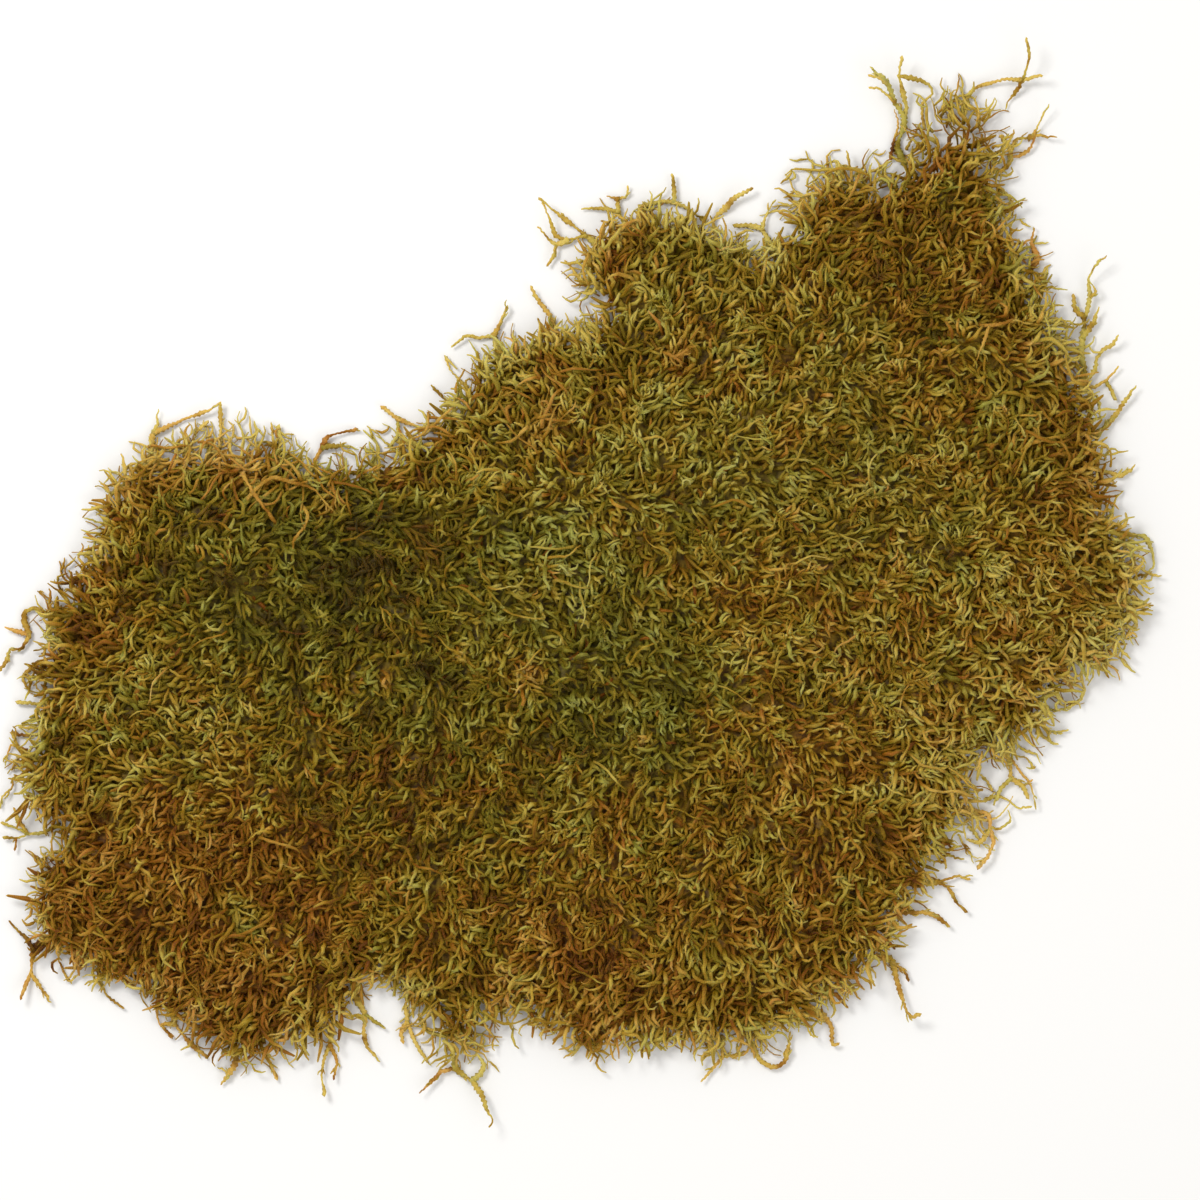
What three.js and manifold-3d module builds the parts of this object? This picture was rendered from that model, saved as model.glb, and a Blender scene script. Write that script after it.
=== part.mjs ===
// Sheet moss: one torn sheet of dried feather moss, lying with its green side up.
// Millimetres, +Z up. The sheet rests on z = 0, and the Z axis runs through the middle of its box.
//
// The sheet is a felt of old brown stems below, and a pile of leafy shoots above. The pile is one
// body for each patch of colour. Loose sprays reach out past the rim, and a few bare runner
// stems lie on top of the pile. The shoots are larger than life, so that they cover the pile.

import * as THREE from 'three';
import { mergeVertices } from 'three/addons/utils/BufferGeometryUtils.js';
import Module from 'manifold-3d';

// Driving dimensions, in millimetres and degrees
const SHEET_WIDTH = 444; // the felt along X, without the fringe and the sprays
const FELT_THICKNESS = 4;
const HOLLOW_SIZE = 32; // spacing of the underside's hollows and resting spots
const FELT_HOLLOWS = 1.1; // how deep the underside is hollowed between its resting spots
const RESTING_SPOT_RADIUS = 40; // the underside is flat within this distance of the middle
const PILE_DEPTH = 6.6; // mean depth of the pile's matted core above the felt
const PILE_RIM_DEPTH = 3; // its depth at the rim
const PILE_SWELL = 2.2; // how far the core rises and falls around its mean depth
const RIM_SLOPE = 34; // width of the slope from the rim up to the full depth
const PILE_SETBACK = 1.2; // the core stands this far inside the felt's edge
const GAP = 0.3; // clearance between neighbouring pieces
const SEAM_STEP = 14; // the partings between patches bend about this often
const SEAM_WANDER = 2.2; // and wander this far to each side
const LYING_LENGTH = 24; // shoots that lie in the matted core
const LYING_WIDTH = 13;
const LYING_RISE = 3.4; // how far their peaks stand above the dips between them
const COMB_WAVE = 4; // the comb wanders this far to each side
const COMB_WAVELENGTH = 22;
const SHOOT_LENGTH = 26; // shoots that stand out of the core
const SHOOT_HALF_WIDTH = 4.4;
const SHOOT_RISE = 8; // how far a shoot climbs from its root to its tip
const SHOOT_ROOT = 2; // depth of a shoot's root in the core
const SHOOT_PITCH_ALONG = 46; // distance between shoots, along the way they are combed
const SHOOT_PITCH_ACROSS = 26;
const SHOOT_FLATNESS = 0.5; // a shoot's thickness over its width
const SHOOT_TURNS = [0, 0.5, -0.5, 1, -1, 1.6, -1.6, 2.3, -2.3, Math.PI]; // tried at a parting
const FRINGE_SPACING = 15;
const FRINGE_REACH = 9; // how far the fringe stands past the rim
const FRINGE_WIDTH = 10; // shoots rooted nearer to the rim than this belong to the fringe
const FRINGE_TURNS = [0, 0.5, -0.5, 1, -1];
const OLD_STEM_SPACING = 32;
const OLD_STEM_REACH = 8;
const OLD_STEM_RADIUS = 0.95;
const RUNNER_LIFT = 4.6; // a runner lies this far above the core, on the shoots
const RUNNER_END_DEPTH = 1.5; // its free ends sink this deep into the core
const SPRAY_STEM_RADIUS = 0.75;
const SPRAY_ROOT_DEPTH = 2; // a spray's root is pushed this far in from the rim, and cut to its seat
const LEAF_LENGTH = 4.2;
const LEAF_RADIUS = 0.65;
const SPRAY_HEIGHT = 1.9; // a spray's axis above the table where it leaves the felt
const SPRAY_LIFT_START = 9; // a spray rises between these distances from the felt's rim
const SPRAY_LIFT_END = 34;
const STEM_CLEARANCE = 3.5; // fringe and old stems keep this far from the sprays' axes
const BOX_TOP = 60; // above everything

// The felt's rim, read off the photograph in its pixels, clockwise from the left end of the top
const RIM_PIXELS = [
  [122, 482], [140, 462], [185, 450], [232, 454], [280, 454], [314, 482], [345, 466], [395, 458],
  [430, 428], [458, 396], [498, 356], [540, 341], [584, 338], [604, 318], [588, 290], [586, 262],
  [602, 236], [645, 217], [690, 224], [728, 245], [762, 262], [790, 243], [802, 208], [840, 174],
  [880, 183], [906, 163], [925, 134], [962, 112], [992, 118], [1000, 150], [998, 188], [1003, 228],
  [1028, 264], [1048, 308], [1060, 340], [1080, 376], [1092, 412], [1098, 460], [1104, 506],
  [1124, 548], [1136, 586], [1130, 624], [1106, 654], [1074, 674], [1046, 702], [1036, 728],
  [1000, 746], [972, 776], [956, 820], [930, 868], [898, 906], [882, 948], [850, 984], [800, 1018],
  [745, 1040], [690, 1040], [640, 1035], [590, 1038], [545, 1020], [500, 1016], [472, 1030],
  [452, 1050], [432, 1012], [410, 986], [385, 974], [357, 992], [335, 1030], [300, 1035],
  [262, 1052], [228, 1050], [195, 1022], [160, 990], [120, 974], [85, 956], [52, 944], [42, 905],
  [42, 872], [60, 846], [66, 822], [42, 812], [28, 800], [30, 765], [36, 730], [48, 702],
  [42, 676], [50, 645], [55, 612], [78, 580], [104, 545], [106, 508],
];
const BOX_MIDDLE_PIXEL = [580.4, 583]; // the middle of the sheet's box, on the Z axis
const RIM_PIXELS_ACROSS = 1110; // from the left end of the rim to the right end
const MM_PER_PIXEL = SHEET_WIDTH / RIM_PIXELS_ACROSS;

// Corners where patches of colour meet, in the photograph's pixels
const CORNERS = {
  west_high: [40, 470], west_low: [-40, 790], south_west: [-40, 1140], north_west: [40, 370],
  north_a: [402, 370], north_b: [402, 300], north_c: [560, 300], north_d: [520, 280],
  north_e: [520, 170], north_f: [760, 170], north_g: [760, 40], north_east: [1080, 40],
  east_high: [1080, 260], east_top: [1190, 260], east_bottom: [1190, 770], east_low: [1060, 770],
  bay_edge: [1060, 830], south_east: [1060, 1100], south_c: [740, 1100], south_b: [540, 1100],
  south_a: [395, 1140],
  tan_left: [120, 505], tan_a: [230, 502], tan_b: [310, 516], tan_c: [370, 492],
  tan_right: [402, 462],
  left_a: [135, 600], left_b: [140, 700], left_c: [115, 790],
  sage_a: [220, 650], sage_b: [330, 690], sage_c: [350, 770], sage_d: [290, 810],
  sage_e: [200, 800],
  dark_a: [455, 520], dark_b: [460, 620], dark_c: [420, 690],
  notch: [598, 325], upper_a: [640, 400], upper_b: [600, 470], upper_c: [520, 500],
  centre_a: [690, 520], centre_b: [700, 640], centre_c: [640, 700], centre_d: [520, 720],
  lobe_a: [762, 250], lobe_b: [770, 330], lobe_c: [740, 400],
  lobe_d: [840, 370], lobe_e: [930, 385], lobe_f: [1010, 340],
  pale_a: [1000, 420], pale_b: [1010, 520], pale_c: [930, 590], pale_d: [800, 580],
  right_a: [1000, 620], right_b: [1010, 720],
  low_a: [700, 740], low_b: [760, 790], low_c: [860, 800], low_d: [960, 850],
  foot_a: [365, 880], foot_b: [395, 985], foot_c: [560, 800], foot_d: [540, 900],
  foot_e: [530, 990], foot_f: [720, 850], foot_g: [730, 950],
};

// Patches of the pile. comb is the way their shoots lie, turned from +X, in degrees.
const PILES = [
  { name: 'pile_tan_top_left', colour: 0x8a652a, comb: 105,
    corners: 'north_west north_a tan_right tan_c tan_b tan_a tan_left west_high' },
  { name: 'pile_dark_green_left', colour: 0x51431a, comb: -40,
    corners: 'tan_left tan_a tan_b tan_c tan_right dark_a dark_b dark_c sage_b sage_a left_a' },
  { name: 'pile_golden_left', colour: 0x6e531a, comb: 190,
    corners: 'west_high tan_left left_a left_b left_c west_low' },
  { name: 'pile_sage_left', colour: 0x66592a, comb: 215,
    corners: 'left_a sage_a sage_b sage_c sage_d sage_e left_c left_b' },
  { name: 'pile_rust_lower_left', colour: 0x674614, comb: 262,
    corners: 'west_low left_c sage_e sage_d foot_a foot_b south_a south_west' },
  { name: 'pile_green_upper_middle', colour: 0x5e4f1b, comb: 125,
    corners: 'north_a north_b north_c notch upper_a upper_b upper_c dark_a tan_right' },
  { name: 'pile_green_centre', colour: 0x60561d, comb: -52,
    corners: 'dark_a upper_c upper_b centre_a centre_b centre_c centre_d dark_c dark_b' },
  { name: 'pile_olive_small_lobe', colour: 0x5d4a1b, comb: 75,
    corners: 'north_d north_e north_f lobe_a lobe_b lobe_c upper_a notch north_c' },
  { name: 'pile_olive_upper_lobe', colour: 0x63491a, comb: 58,
    corners: 'north_f north_g north_east east_high lobe_f lobe_e lobe_d lobe_b lobe_a' },
  { name: 'pile_pale_sage_right', colour: 0x665628, comb: 20,
    corners: 'upper_a lobe_c lobe_b lobe_d lobe_e pale_a pale_b pale_c pale_d centre_a upper_b' },
  { name: 'pile_brown_right_rim', colour: 0x70541e, comb: -8,
    corners: 'east_high east_top east_bottom east_low right_b right_a pale_b pale_a lobe_e lobe_f' },
  { name: 'pile_golden_right', colour: 0x6c541a, comb: -35,
    corners: 'centre_a pale_d pale_c pale_b right_a right_b east_low bay_edge low_d low_c low_b'
      + ' low_a centre_c centre_b' },
  { name: 'pile_olive_lower_middle', colour: 0x584818, comb: 250,
    corners: 'sage_c sage_b dark_c centre_d foot_c foot_d foot_e south_b south_a foot_b foot_a'
      + ' sage_d' },
  { name: 'pile_rust_foot', colour: 0x644612, comb: 275,
    corners: 'centre_d centre_c low_a foot_f foot_g south_c south_b foot_e foot_d foot_c' },
  { name: 'pile_golden_lower_right', colour: 0x614817, comb: -62,
    corners: 'low_a low_b low_c low_d bay_edge south_east south_c foot_g foot_f' },
];

// Bare runner stems on top of the pile, as strands of pixels
const RUNNERS = [
  { name: 'runner_tan_crossed', colour: 0xb08a4c, radius: 0.95, strands: [
    [[239, 466], [255, 493], [271, 514], [286, 535]],
    [[249, 500], [255, 493], [264, 484], [276, 478], [298, 484], [316, 490], [329, 506],
      [343, 518]],
  ] },
  { name: 'runner_brown_arched', colour: 0x7c5522, radius: 0.7, strands: [
    [[298, 500], [309, 514], [306, 527], [296, 540], [293, 560]],
  ] },
  { name: 'runner_orange_middle', colour: 0xb0743a, radius: 0.7, strands: [
    [[660, 352], [674, 358], [684, 353], [694, 344]],
    [[674, 358], [683, 365]],
  ] },
  { name: 'runner_rust_right', colour: 0x8d5f26, radius: 0.75, strands: [
    [[972, 325], [987, 327], [1003, 324], [1018, 318]],
    [[987, 327], [983, 340], [977, 354], [973, 368]],
  ] },
];

// Loose sprays past the rim. The first strand of pixels starts at the rim, and each other strand
// branches off a point of an earlier one. lift is how high the spray rises away from the rim.
const SPRAYS = [
  { name: 'spray_top_antler', lift: 9, strands: [
    [[905, 166], [897, 147], [902, 132], [904, 118], [895, 104], [886, 84], [873, 74]],
    [[904, 118], [906, 108], [902, 92], [898, 78], [901, 60]],
    [[886, 84], [878, 80], [868, 78]],
    [[895, 104], [878, 90], [869, 90]],
    [[898, 78], [915, 80], [928, 85], [932, 94], [923, 103], [922, 114], [924, 128]],
  ] },
  { name: 'spray_crossed_top_right', lift: 10, strands: [
    [[962, 116], [965, 100], [976, 88], [988, 84], [1004, 80], [1022, 81], [1040, 77]],
    [[1022, 81], [1026, 66], [1028, 58], [1024, 41]],
    [[1022, 81], [1015, 93], [1007, 102]],
  ] },
  { name: 'spray_right_shoulder', lift: 7, strands: [
    [[996, 172], [1008, 166], [1010, 154], [1015, 140], [1028, 138], [1035, 131], [1044, 112]],
    [[1028, 138], [1040, 136], [1047, 138]],
    [[1035, 131], [1031, 147], [1021, 155], [1010, 158]],
  ] },
  { name: 'spray_right_curly', lift: 7, strands: [
    [[1030, 270], [1037, 258], [1031, 243], [1034, 229]],
  ] },
  { name: 'spray_right_bushy', lift: 8, leafy: true, strands: [
    [[1080, 390], [1084, 372], [1081, 356], [1082, 338], [1085, 318], [1089, 298], [1088, 278],
      [1098, 261]],
    [[1082, 338], [1093, 322], [1098, 308]],
    [[1085, 318], [1075, 310], [1073, 296]],
    [[1089, 298], [1095, 292], [1092, 286]],
    [[1080, 390], [1094, 370], [1096, 360], [1102, 350], [1111, 346], [1117, 336]],
    [[1080, 390], [1094, 387], [1105, 381], [1112, 374], [1118, 367]],
    [[1105, 381], [1110, 389], [1115, 399]],
  ] },
  { name: 'spray_right_broken_twig', lift: 7, strands: [
    [[1092, 436], [1104, 428], [1113, 418], [1122, 405], [1132, 390]],
  ] },
  { name: 'spray_right_stub', lift: 4, strands: [
    [[1098, 470], [1110, 473], [1119, 476], [1130, 470]],
  ] },
  { name: 'spray_right_loop', lift: 4, strands: [
    [[1118, 540], [1131, 535], [1144, 537], [1151, 549], [1153, 566], [1141, 577]],
  ] },
  { name: 'spray_right_tail', lift: 3, strands: [
    [[1044, 706], [1054, 711], [1068, 707], [1080, 699], [1084, 688]],
  ] },
  { name: 'spray_bay_upper', lift: 5, strands: [
    [[1004, 748], [1010, 765], [1011, 778], [1022, 786], [1027, 797]],
    [[1011, 778], [1001, 788], [996, 799]],
  ] },
  { name: 'spray_bay_lower', lift: 5, leafy: true, strands: [
    [[956, 808], [970, 809], [988, 815], [990, 828], [993, 841], [988, 855], [978, 867]],
    [[990, 828], [980, 842], [967, 839]],
  ] },
  { name: 'spray_bay_hook', lift: 3, strands: [
    [[912, 884], [938, 882], [950, 890], [955, 901], [966, 911]],
    [[938, 882], [956, 876], [969, 879]],
  ] },
  { name: 'spray_bay_thread', lift: 4, strands: [
    [[896, 912], [922, 912], [935, 915], [949, 926]],
  ] },
  { name: 'spray_long_tail_bottom_right', lift: 7, strands: [
    [[876, 956], [891, 960], [897, 983], [905, 1008], [911, 1016], [918, 1013]],
    [[891, 960], [905, 972], [908, 980]],
  ] },
  { name: 'spray_bottom_crook', lift: 5, strands: [
    [[808, 1008], [820, 1012], [831, 1026], [832, 1044], [838, 1043]],
  ] },
  { name: 'spray_bottom_hoop', lift: 5, strands: [
    [[748, 1036], [752, 1046], [760, 1060], [773, 1067], [784, 1062], [788, 1048], [790, 1032]],
  ] },
  { name: 'spray_bottom_twig', lift: 4, strands: [
    [[722, 1036], [722, 1056], [711, 1070], [701, 1081]],
    [[722, 1056], [736, 1055], [746, 1051]],
  ] },
  { name: 'spray_long_bottom', lift: 6, leafy: true, strands: [
    [[452, 1044], [456, 1068], [472, 1081], [482, 1094], [487, 1108], [493, 1118], [490, 1125]],
    [[472, 1081], [480, 1074], [484, 1064], [476, 1052]],
    [[456, 1068], [442, 1071], [434, 1079], [420, 1092]],
  ] },
  { name: 'spray_bottom_dangling', lift: 5, strands: [
    [[410, 980], [406, 1006], [408, 1022], [415, 1041], [428, 1062]],
    [[408, 1022], [401, 1032], [403, 1042]],
  ] },
  { name: 'spray_bottom_wishbone', lift: 5, strands: [
    [[352, 990], [365, 1014], [364, 1030], [367, 1046], [376, 1056]],
    [[365, 1014], [374, 1020], [385, 1028]],
  ] },
  { name: 'spray_bottom_tassel', lift: 4, leafy: true, strands: [
    [[334, 1022], [330, 1044], [325, 1056], [322, 1074], [325, 1093]],
    [[330, 1044], [337, 1060], [334, 1078]],
  ] },
  { name: 'spray_bottom_left_foot', lift: 3, strands: [
    [[234, 1044], [236, 1062], [229, 1074], [221, 1084]],
    [[229, 1074], [222, 1068]],
  ] },
  { name: 'spray_lower_left_streak', lift: 4, strands: [
    [[168, 992], [176, 1024], [190, 1042], [207, 1057]],
    [[176, 1024], [162, 1024], [172, 1037]],
  ] },
  { name: 'spray_left_fork', lift: 5, strands: [
    [[48, 936], [34, 950], [32, 972], [40, 985], [49, 998]],
    [[32, 972], [25, 988], [22, 998]],
    [[34, 950], [27, 938], [20, 932], [10, 921]],
  ] },
  { name: 'spray_left_fan', lift: 4, leafy: true, strands: [
    [[60, 824], [44, 832], [29, 834], [17, 838], [5, 837]],
    [[29, 834], [20, 822], [14, 808]],
    [[29, 834], [12, 826], [3, 823]],
    [[17, 838], [16, 849]],
  ] },
  { name: 'spray_left_curls', lift: 6, leafy: true, strands: [
    [[52, 616], [42, 611], [34, 608], [25, 613], [25, 623], [30, 635], [22, 648], [11, 650],
      [7, 661], [1, 670]],
    [[30, 635], [17, 631], [6, 627]],
  ] },
  { name: 'spray_left_hook', lift: 4, strands: [
    [[48, 664], [41, 661], [31, 668], [23, 678], [28, 688]],
  ] },
  { name: 'spray_left_needle', lift: 3, strands: [
    [[54, 702], [40, 704], [30, 703], [18, 702]],
  ] },
  { name: 'spray_top_left_arch', lift: 7, leafy: true, strands: [
    [[152, 468], [152, 448], [154, 434], [168, 427], [185, 419], [206, 412], [221, 403]],
    [[221, 403], [221, 424], [221, 440]],
    [[154, 434], [158, 424], [157, 415]],
    [[152, 448], [174, 448], [193, 443], [197, 432], [208, 422]],
  ] },
  { name: 'spray_top_left_peak', lift: 5, strands: [
    [[274, 462], [280, 446], [279, 427]],
    [[280, 446], [264, 442], [250, 446]],
  ] },
  { name: 'spray_pointed_small_lobe', lift: 8, leafy: true, strands: [
    [[600, 246], [586, 236], [568, 222], [552, 210], [540, 200]],
    [[586, 236], [568, 240], [556, 236], [549, 218], [543, 204]],
    [[568, 240], [556, 245], [547, 238], [539, 228]],
    [[556, 245], [554, 256], [547, 266]],
  ] },
  { name: 'spray_small_lobe_spike', lift: 6, strands: [
    [[628, 232], [618, 213], [603, 209], [582, 209]],
    [[618, 213], [618, 200], [627, 196], [628, 187]],
    [[618, 200], [607, 196]],
  ] },
  { name: 'spray_small_lobe_arch', lift: 7, strands: [
    [[640, 224], [642, 208], [659, 202], [674, 203], [690, 210], [704, 222]],
    [[674, 203], [674, 190], [672, 176]],
  ] },
  { name: 'spray_gap_arc', lift: 6, strands: [
    [[716, 240], [713, 225], [716, 216], [724, 210], [734, 199], [752, 189]],
  ] },
  { name: 'spray_gap_twig', lift: 4, strands: [
    [[774, 254], [762, 230], [748, 226], [734, 226]],
    [[762, 230], [766, 216], [772, 204]],
  ] },
  { name: 'spray_upper_middle_needle', lift: 6, strands: [
    [[560, 342], [550, 316], [540, 303], [531, 288]],
  ] },
  { name: 'spray_upper_middle_loop', lift: 5, strands: [
    [[500, 362], [494, 337], [480, 338], [466, 336], [452, 347]],
    [[494, 337], [500, 324], [507, 308]],
  ] },
  { name: 'spray_notch_right_spike', lift: 5, strands: [
    [[436, 430], [422, 428], [398, 419], [383, 407]],
    [[398, 419], [398, 436], [390, 446]],
  ] },
  { name: 'spray_notch_antler', lift: 5, strands: [
    [[318, 476], [315, 462], [322, 448], [327, 438], [340, 433], [356, 430]],
    [[322, 448], [334, 446], [350, 446]],
  ] },
];

const kernel = await Module();
kernel.setup();

/** Gives the same numbers between 0 and 1 on every run. */
function seededRandom(seed) {
  let state = seed;
  return () => {
    state = (state * 1664525 + 1013904223) % 4294967296;
    return state / 4294967296;
  };
}

/** Turns a pixel of the photograph into a point of the sheet. */
function place([x, y]) {
  const across = (x - BOX_MIDDLE_PIXEL[0]) * MM_PER_PIXEL;
  const up = (BOX_MIDDLE_PIXEL[1] - y) * MM_PER_PIXEL;
  return new THREE.Vector2(across, up);
}

/** Makes a solid of a closed geometry. */
function solidOf(geometry) {
  const bare = geometry.clone();
  bare.deleteAttribute('normal');
  bare.deleteAttribute('uv');
  const merged = mergeVertices(bare);
  const mesh = new kernel.Mesh({
    numProp: 3,
    vertProperties: new Float32Array(merged.attributes.position.array),
    triVerts: new Uint32Array(merged.index.array),
  });
  return new kernel.Manifold(mesh);
}

/** Gives the solid's largest body as a geometry: loose scraps and sealed hollows are dropped. */
function geometryOf(solid) {
  const { vertProperties, triVerts } = solid.getMesh();
  const parent = Array.from({ length: vertProperties.length / 3 }, (_, i) => i);
  const rootOf = (vertex) => {
    let root = vertex;
    while (parent[root] !== root) {
      parent[root] = parent[parent[root]];
      root = parent[root];
    }
    return root;
  };
  for (let i = 0; i < triVerts.length; i += 3) {
    parent[rootOf(triVerts[i])] = rootOf(triVerts[i + 1]);
    parent[rootOf(triVerts[i + 2])] = rootOf(triVerts[i + 1]);
  }
  const volumes = new Map();
  const corner = (i) => new THREE.Vector3().fromArray(vertProperties, triVerts[i] * 3);
  for (let i = 0; i < triVerts.length; i += 3) {
    const root = rootOf(triVerts[i]);
    const volume = corner(i).dot(corner(i + 1).cross(corner(i + 2))) / 6;
    volumes.set(root, (volumes.get(root) ?? 0) + volume);
  }
  const [largest] = [...volumes].reduce((a, b) => (b[1] > a[1] ? b : a));
  const kept = [];
  for (let i = 0; i < triVerts.length; i += 3) {
    if (rootOf(triVerts[i]) === largest) {
      kept.push(triVerts[i], triVerts[i + 1], triVerts[i + 2]);
    }
  }
  const geometry = new THREE.BufferGeometry();
  geometry.setAttribute('position', new THREE.BufferAttribute(vertProperties, 3));
  geometry.setIndex(kept);
  return mergeVertices(geometry.toNonIndexed());
}

/** Moves a closed outline outwards by a distance, or inwards by a negative one. */
function offsetOutline(points, distance) {
  const sense = THREE.ShapeUtils.isClockWise(points) ? 1 : -1;
  return points.map((point, i) => {
    const before = points[(i + points.length - 1) % points.length];
    const after = points[(i + 1) % points.length];
    const along = after.clone().sub(before).normalize();
    return new THREE.Vector2(-along.y, along.x).multiplyScalar(sense * distance).add(point);
  });
}

/** Stands a wall of a given outline between two heights. */
function prism(outline, bottom, top) {
  const geometry = new THREE.ExtrudeGeometry(new THREE.Shape(outline), {
    depth: top - bottom,
    bevelEnabled: false,
  });
  return solidOf(geometry.translate(0, 0, bottom));
}

const rim = RIM_PIXELS.map(place);

/** Finds the nearest point of the rim: its distance, positive inside, and the way out. */
function nearestRim(point) {
  let best = { distance: Infinity };
  let inside = false;
  rim.forEach((start, i) => {
    const end = rim[(i + 1) % rim.length];
    const edge = end.clone().sub(start);
    const t = THREE.MathUtils.clamp(point.clone().sub(start).dot(edge) / edge.lengthSq(), 0, 1);
    const foot = start.clone().addScaledVector(edge, t);
    const distance = foot.distanceTo(point);
    if (distance < best.distance) {
      best = { distance, out: new THREE.Vector2(-edge.y, edge.x).normalize() };
    }
    const crosses = (start.y > point.y) !== (end.y > point.y);
    if (crosses && point.x < start.x + (edge.x * (point.y - start.y)) / edge.y) {
      inside = !inside;
    }
  });
  return { distance: inside ? best.distance : -best.distance, out: best.out };
}

/** Gives the sheet's soft rise and fall, between -1 and 1. */
function swell(x, y) {
  const broad = Math.sin(x / 27 + 1.3 * Math.sin(y / 41)) * Math.cos(y / 31 - 0.7);
  const fine = Math.sin(x / 13 - y / 17 + 0.9) * Math.sin(y / 11 + x / 23);
  return 0.65 * broad + 0.35 * fine;
}

/** Gives the height of the pile's core above the table. */
function coreTop(x, y) {
  const inwards = THREE.MathUtils.smoothstep(nearestRim(new THREE.Vector2(x, y)).distance, 0, RIM_SLOPE);
  const depth = THREE.MathUtils.lerp(PILE_RIM_DEPTH, PILE_DEPTH, inwards);
  return FELT_THICKNESS + depth + PILE_SWELL * swell(x, y) * (0.35 + 0.65 * inwards);
}

/**
 * Bends a closed tube with a pointed tip along a curve, with a ring at each of its points.
 * radiusAt gives its half width at each part of its length, and flatness how thin it is.
 */
function tubeAlong(points, radiusAt, { sides = 3, flatness = 1 } = {}) {
  const curve = new THREE.CatmullRomCurve3(points, false, 'centripetal');
  const tube = new THREE.ConeGeometry(1, 1, sides, points.length - 1);
  const position = tube.attributes.position;
  const up = new THREE.Vector3(0, 0, 1);
  for (let i = 0; i < position.count; i += 1) {
    const t = THREE.MathUtils.clamp(position.getY(i) + 0.5, 0, 1);
    const along = curve.getTangent(t);
    const across = new THREE.Vector3().crossVectors(along, up).normalize();
    const upright = new THREE.Vector3().crossVectors(across, along);
    const section = new THREE.Vector2(position.getX(i), position.getZ(i));
    section.normalize().multiplyScalar(t < 1 ? radiusAt(t) : 0);
    const point = curve.getPoint(t);
    point.addScaledVector(across, section.x);
    point.addScaledVector(upright, section.y * flatness);
    position.setXYZ(i, point.x, point.y, point.z);
  }
  return solidOf(tube);
}

const plump = (halfWidth) => (t) => halfWidth * Math.sin(Math.PI * (0.22 + 0.6 * t));
const tapered = (root, tip) => (t) => THREE.MathUtils.lerp(root, tip, t);

/** Gives the curve of one shoot: it climbs from its root and swings to one side like a comma. */
function shootPath(root, heading, rise, length, curl) {
  const forward = new THREE.Vector3(Math.cos(heading), Math.sin(heading), 0);
  const sideways = new THREE.Vector3(-forward.y, forward.x, 0);
  const middle = root.clone().addScaledVector(forward, length * 0.5);
  middle.addScaledVector(sideways, curl).setZ(root.z + rise * 0.68);
  const tip = root.clone().addScaledVector(forward, length * 0.96);
  tip.addScaledVector(sideways, -0.4 * curl).setZ(root.z + rise);
  return [root, middle, tip];
}

/** Closes a surface into a solid, with a flat floor below it and a wall round its edge. */
function standOnFloor(vertices, triangles, floor) {
  const count = vertices.length;
  const directed = new Set(triangles.flatMap(([a, b, c]) => [`${a},${b}`, `${b},${c}`, `${c},${a}`]));
  const walls = [...directed].map((edge) => edge.split(',').map(Number))
    .filter(([a, b]) => !directed.has(`${b},${a}`))
    .flatMap(([a, b]) => [[b, a, a + count], [b, a + count, b + count]]);
  const floors = triangles.map(([a, b, c]) => [c + count, b + count, a + count]);
  const below = vertices.map(({ x, y }) => new THREE.Vector3(x, y, floor));
  const geometry = new THREE.BufferGeometry().setFromPoints([...vertices, ...below]);
  geometry.setIndex([...triangles, ...walls, ...floors].flat());
  return solidOf(geometry);
}

/**
 * Makes the matted core of one patch: shoots that lie along the comb and overlap like scales.
 * Each is a diamond between four dips, with one peak near its tip.
 */
function mattedCore(outline, combing, random) {
  const origin = new THREE.Vector2();
  const slack = () => random() - 0.5;
  const turned = outline.map((point) => point.clone().rotateAround(origin, -combing));
  const box = new THREE.Box2().setFromPoints(turned).expandByScalar(LYING_LENGTH);
  const rows = Math.ceil((2 * (box.max.y - box.min.y)) / LYING_WIDTH);
  const columns = Math.ceil((box.max.x - box.min.x) / LYING_LENGTH);
  const vertices = [];
  const addVertex = (u, v, rise) => {
    const spot = new THREE.Vector2(u, v + COMB_WAVE * Math.sin(u / COMB_WAVELENGTH));
    spot.rotateAround(origin, combing);
    return vertices.push(new THREE.Vector3(spot.x, spot.y, coreTop(spot.x, spot.y) + rise)) - 1;
  };
  const lattice = Array.from({ length: rows + 1 }, (_, row) => {
    const v = box.min.y + (row * LYING_WIDTH) / 2;
    const stagger = row % 2 === 0 ? 0 : LYING_LENGTH / 2;
    return Array.from({ length: columns + 1 }, (__, column) => {
      const u = box.min.x + column * LYING_LENGTH + stagger;
      const peakAt = u + LYING_LENGTH * (0.7 + 0.2 * slack());
      const rise = LYING_RISE * (0.6 + 0.8 * random());
      return {
        dip: addVertex(u + 0.3 * LYING_LENGTH * slack(), v + 0.25 * LYING_WIDTH * slack(), 0.8 * slack()),
        peak: addVertex(peakAt, v + 0.25 * LYING_WIDTH * slack(), rise),
      };
    });
  });
  const triangles = [];
  for (let row = 0; row < rows; row += 1) {
    const [lower, upper] = [lattice[row], lattice[row + 1]];
    const shift = row % 2;
    for (let i = 0; i < columns; i += 1) {
      const above = upper[i + shift].dip;
      const below = lower[i + 1 - shift].dip;
      triangles.push([lower[i].dip, lower[i].peak, above], [lower[i].peak, lower[i + 1].dip, above]);
      triangles.push([upper[i].dip, below, upper[i].peak], [upper[i].peak, below, upper[i + 1].dip]);
    }
  }
  return standOnFloor(vertices, triangles, FELT_THICKNESS - 1);
}

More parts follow.
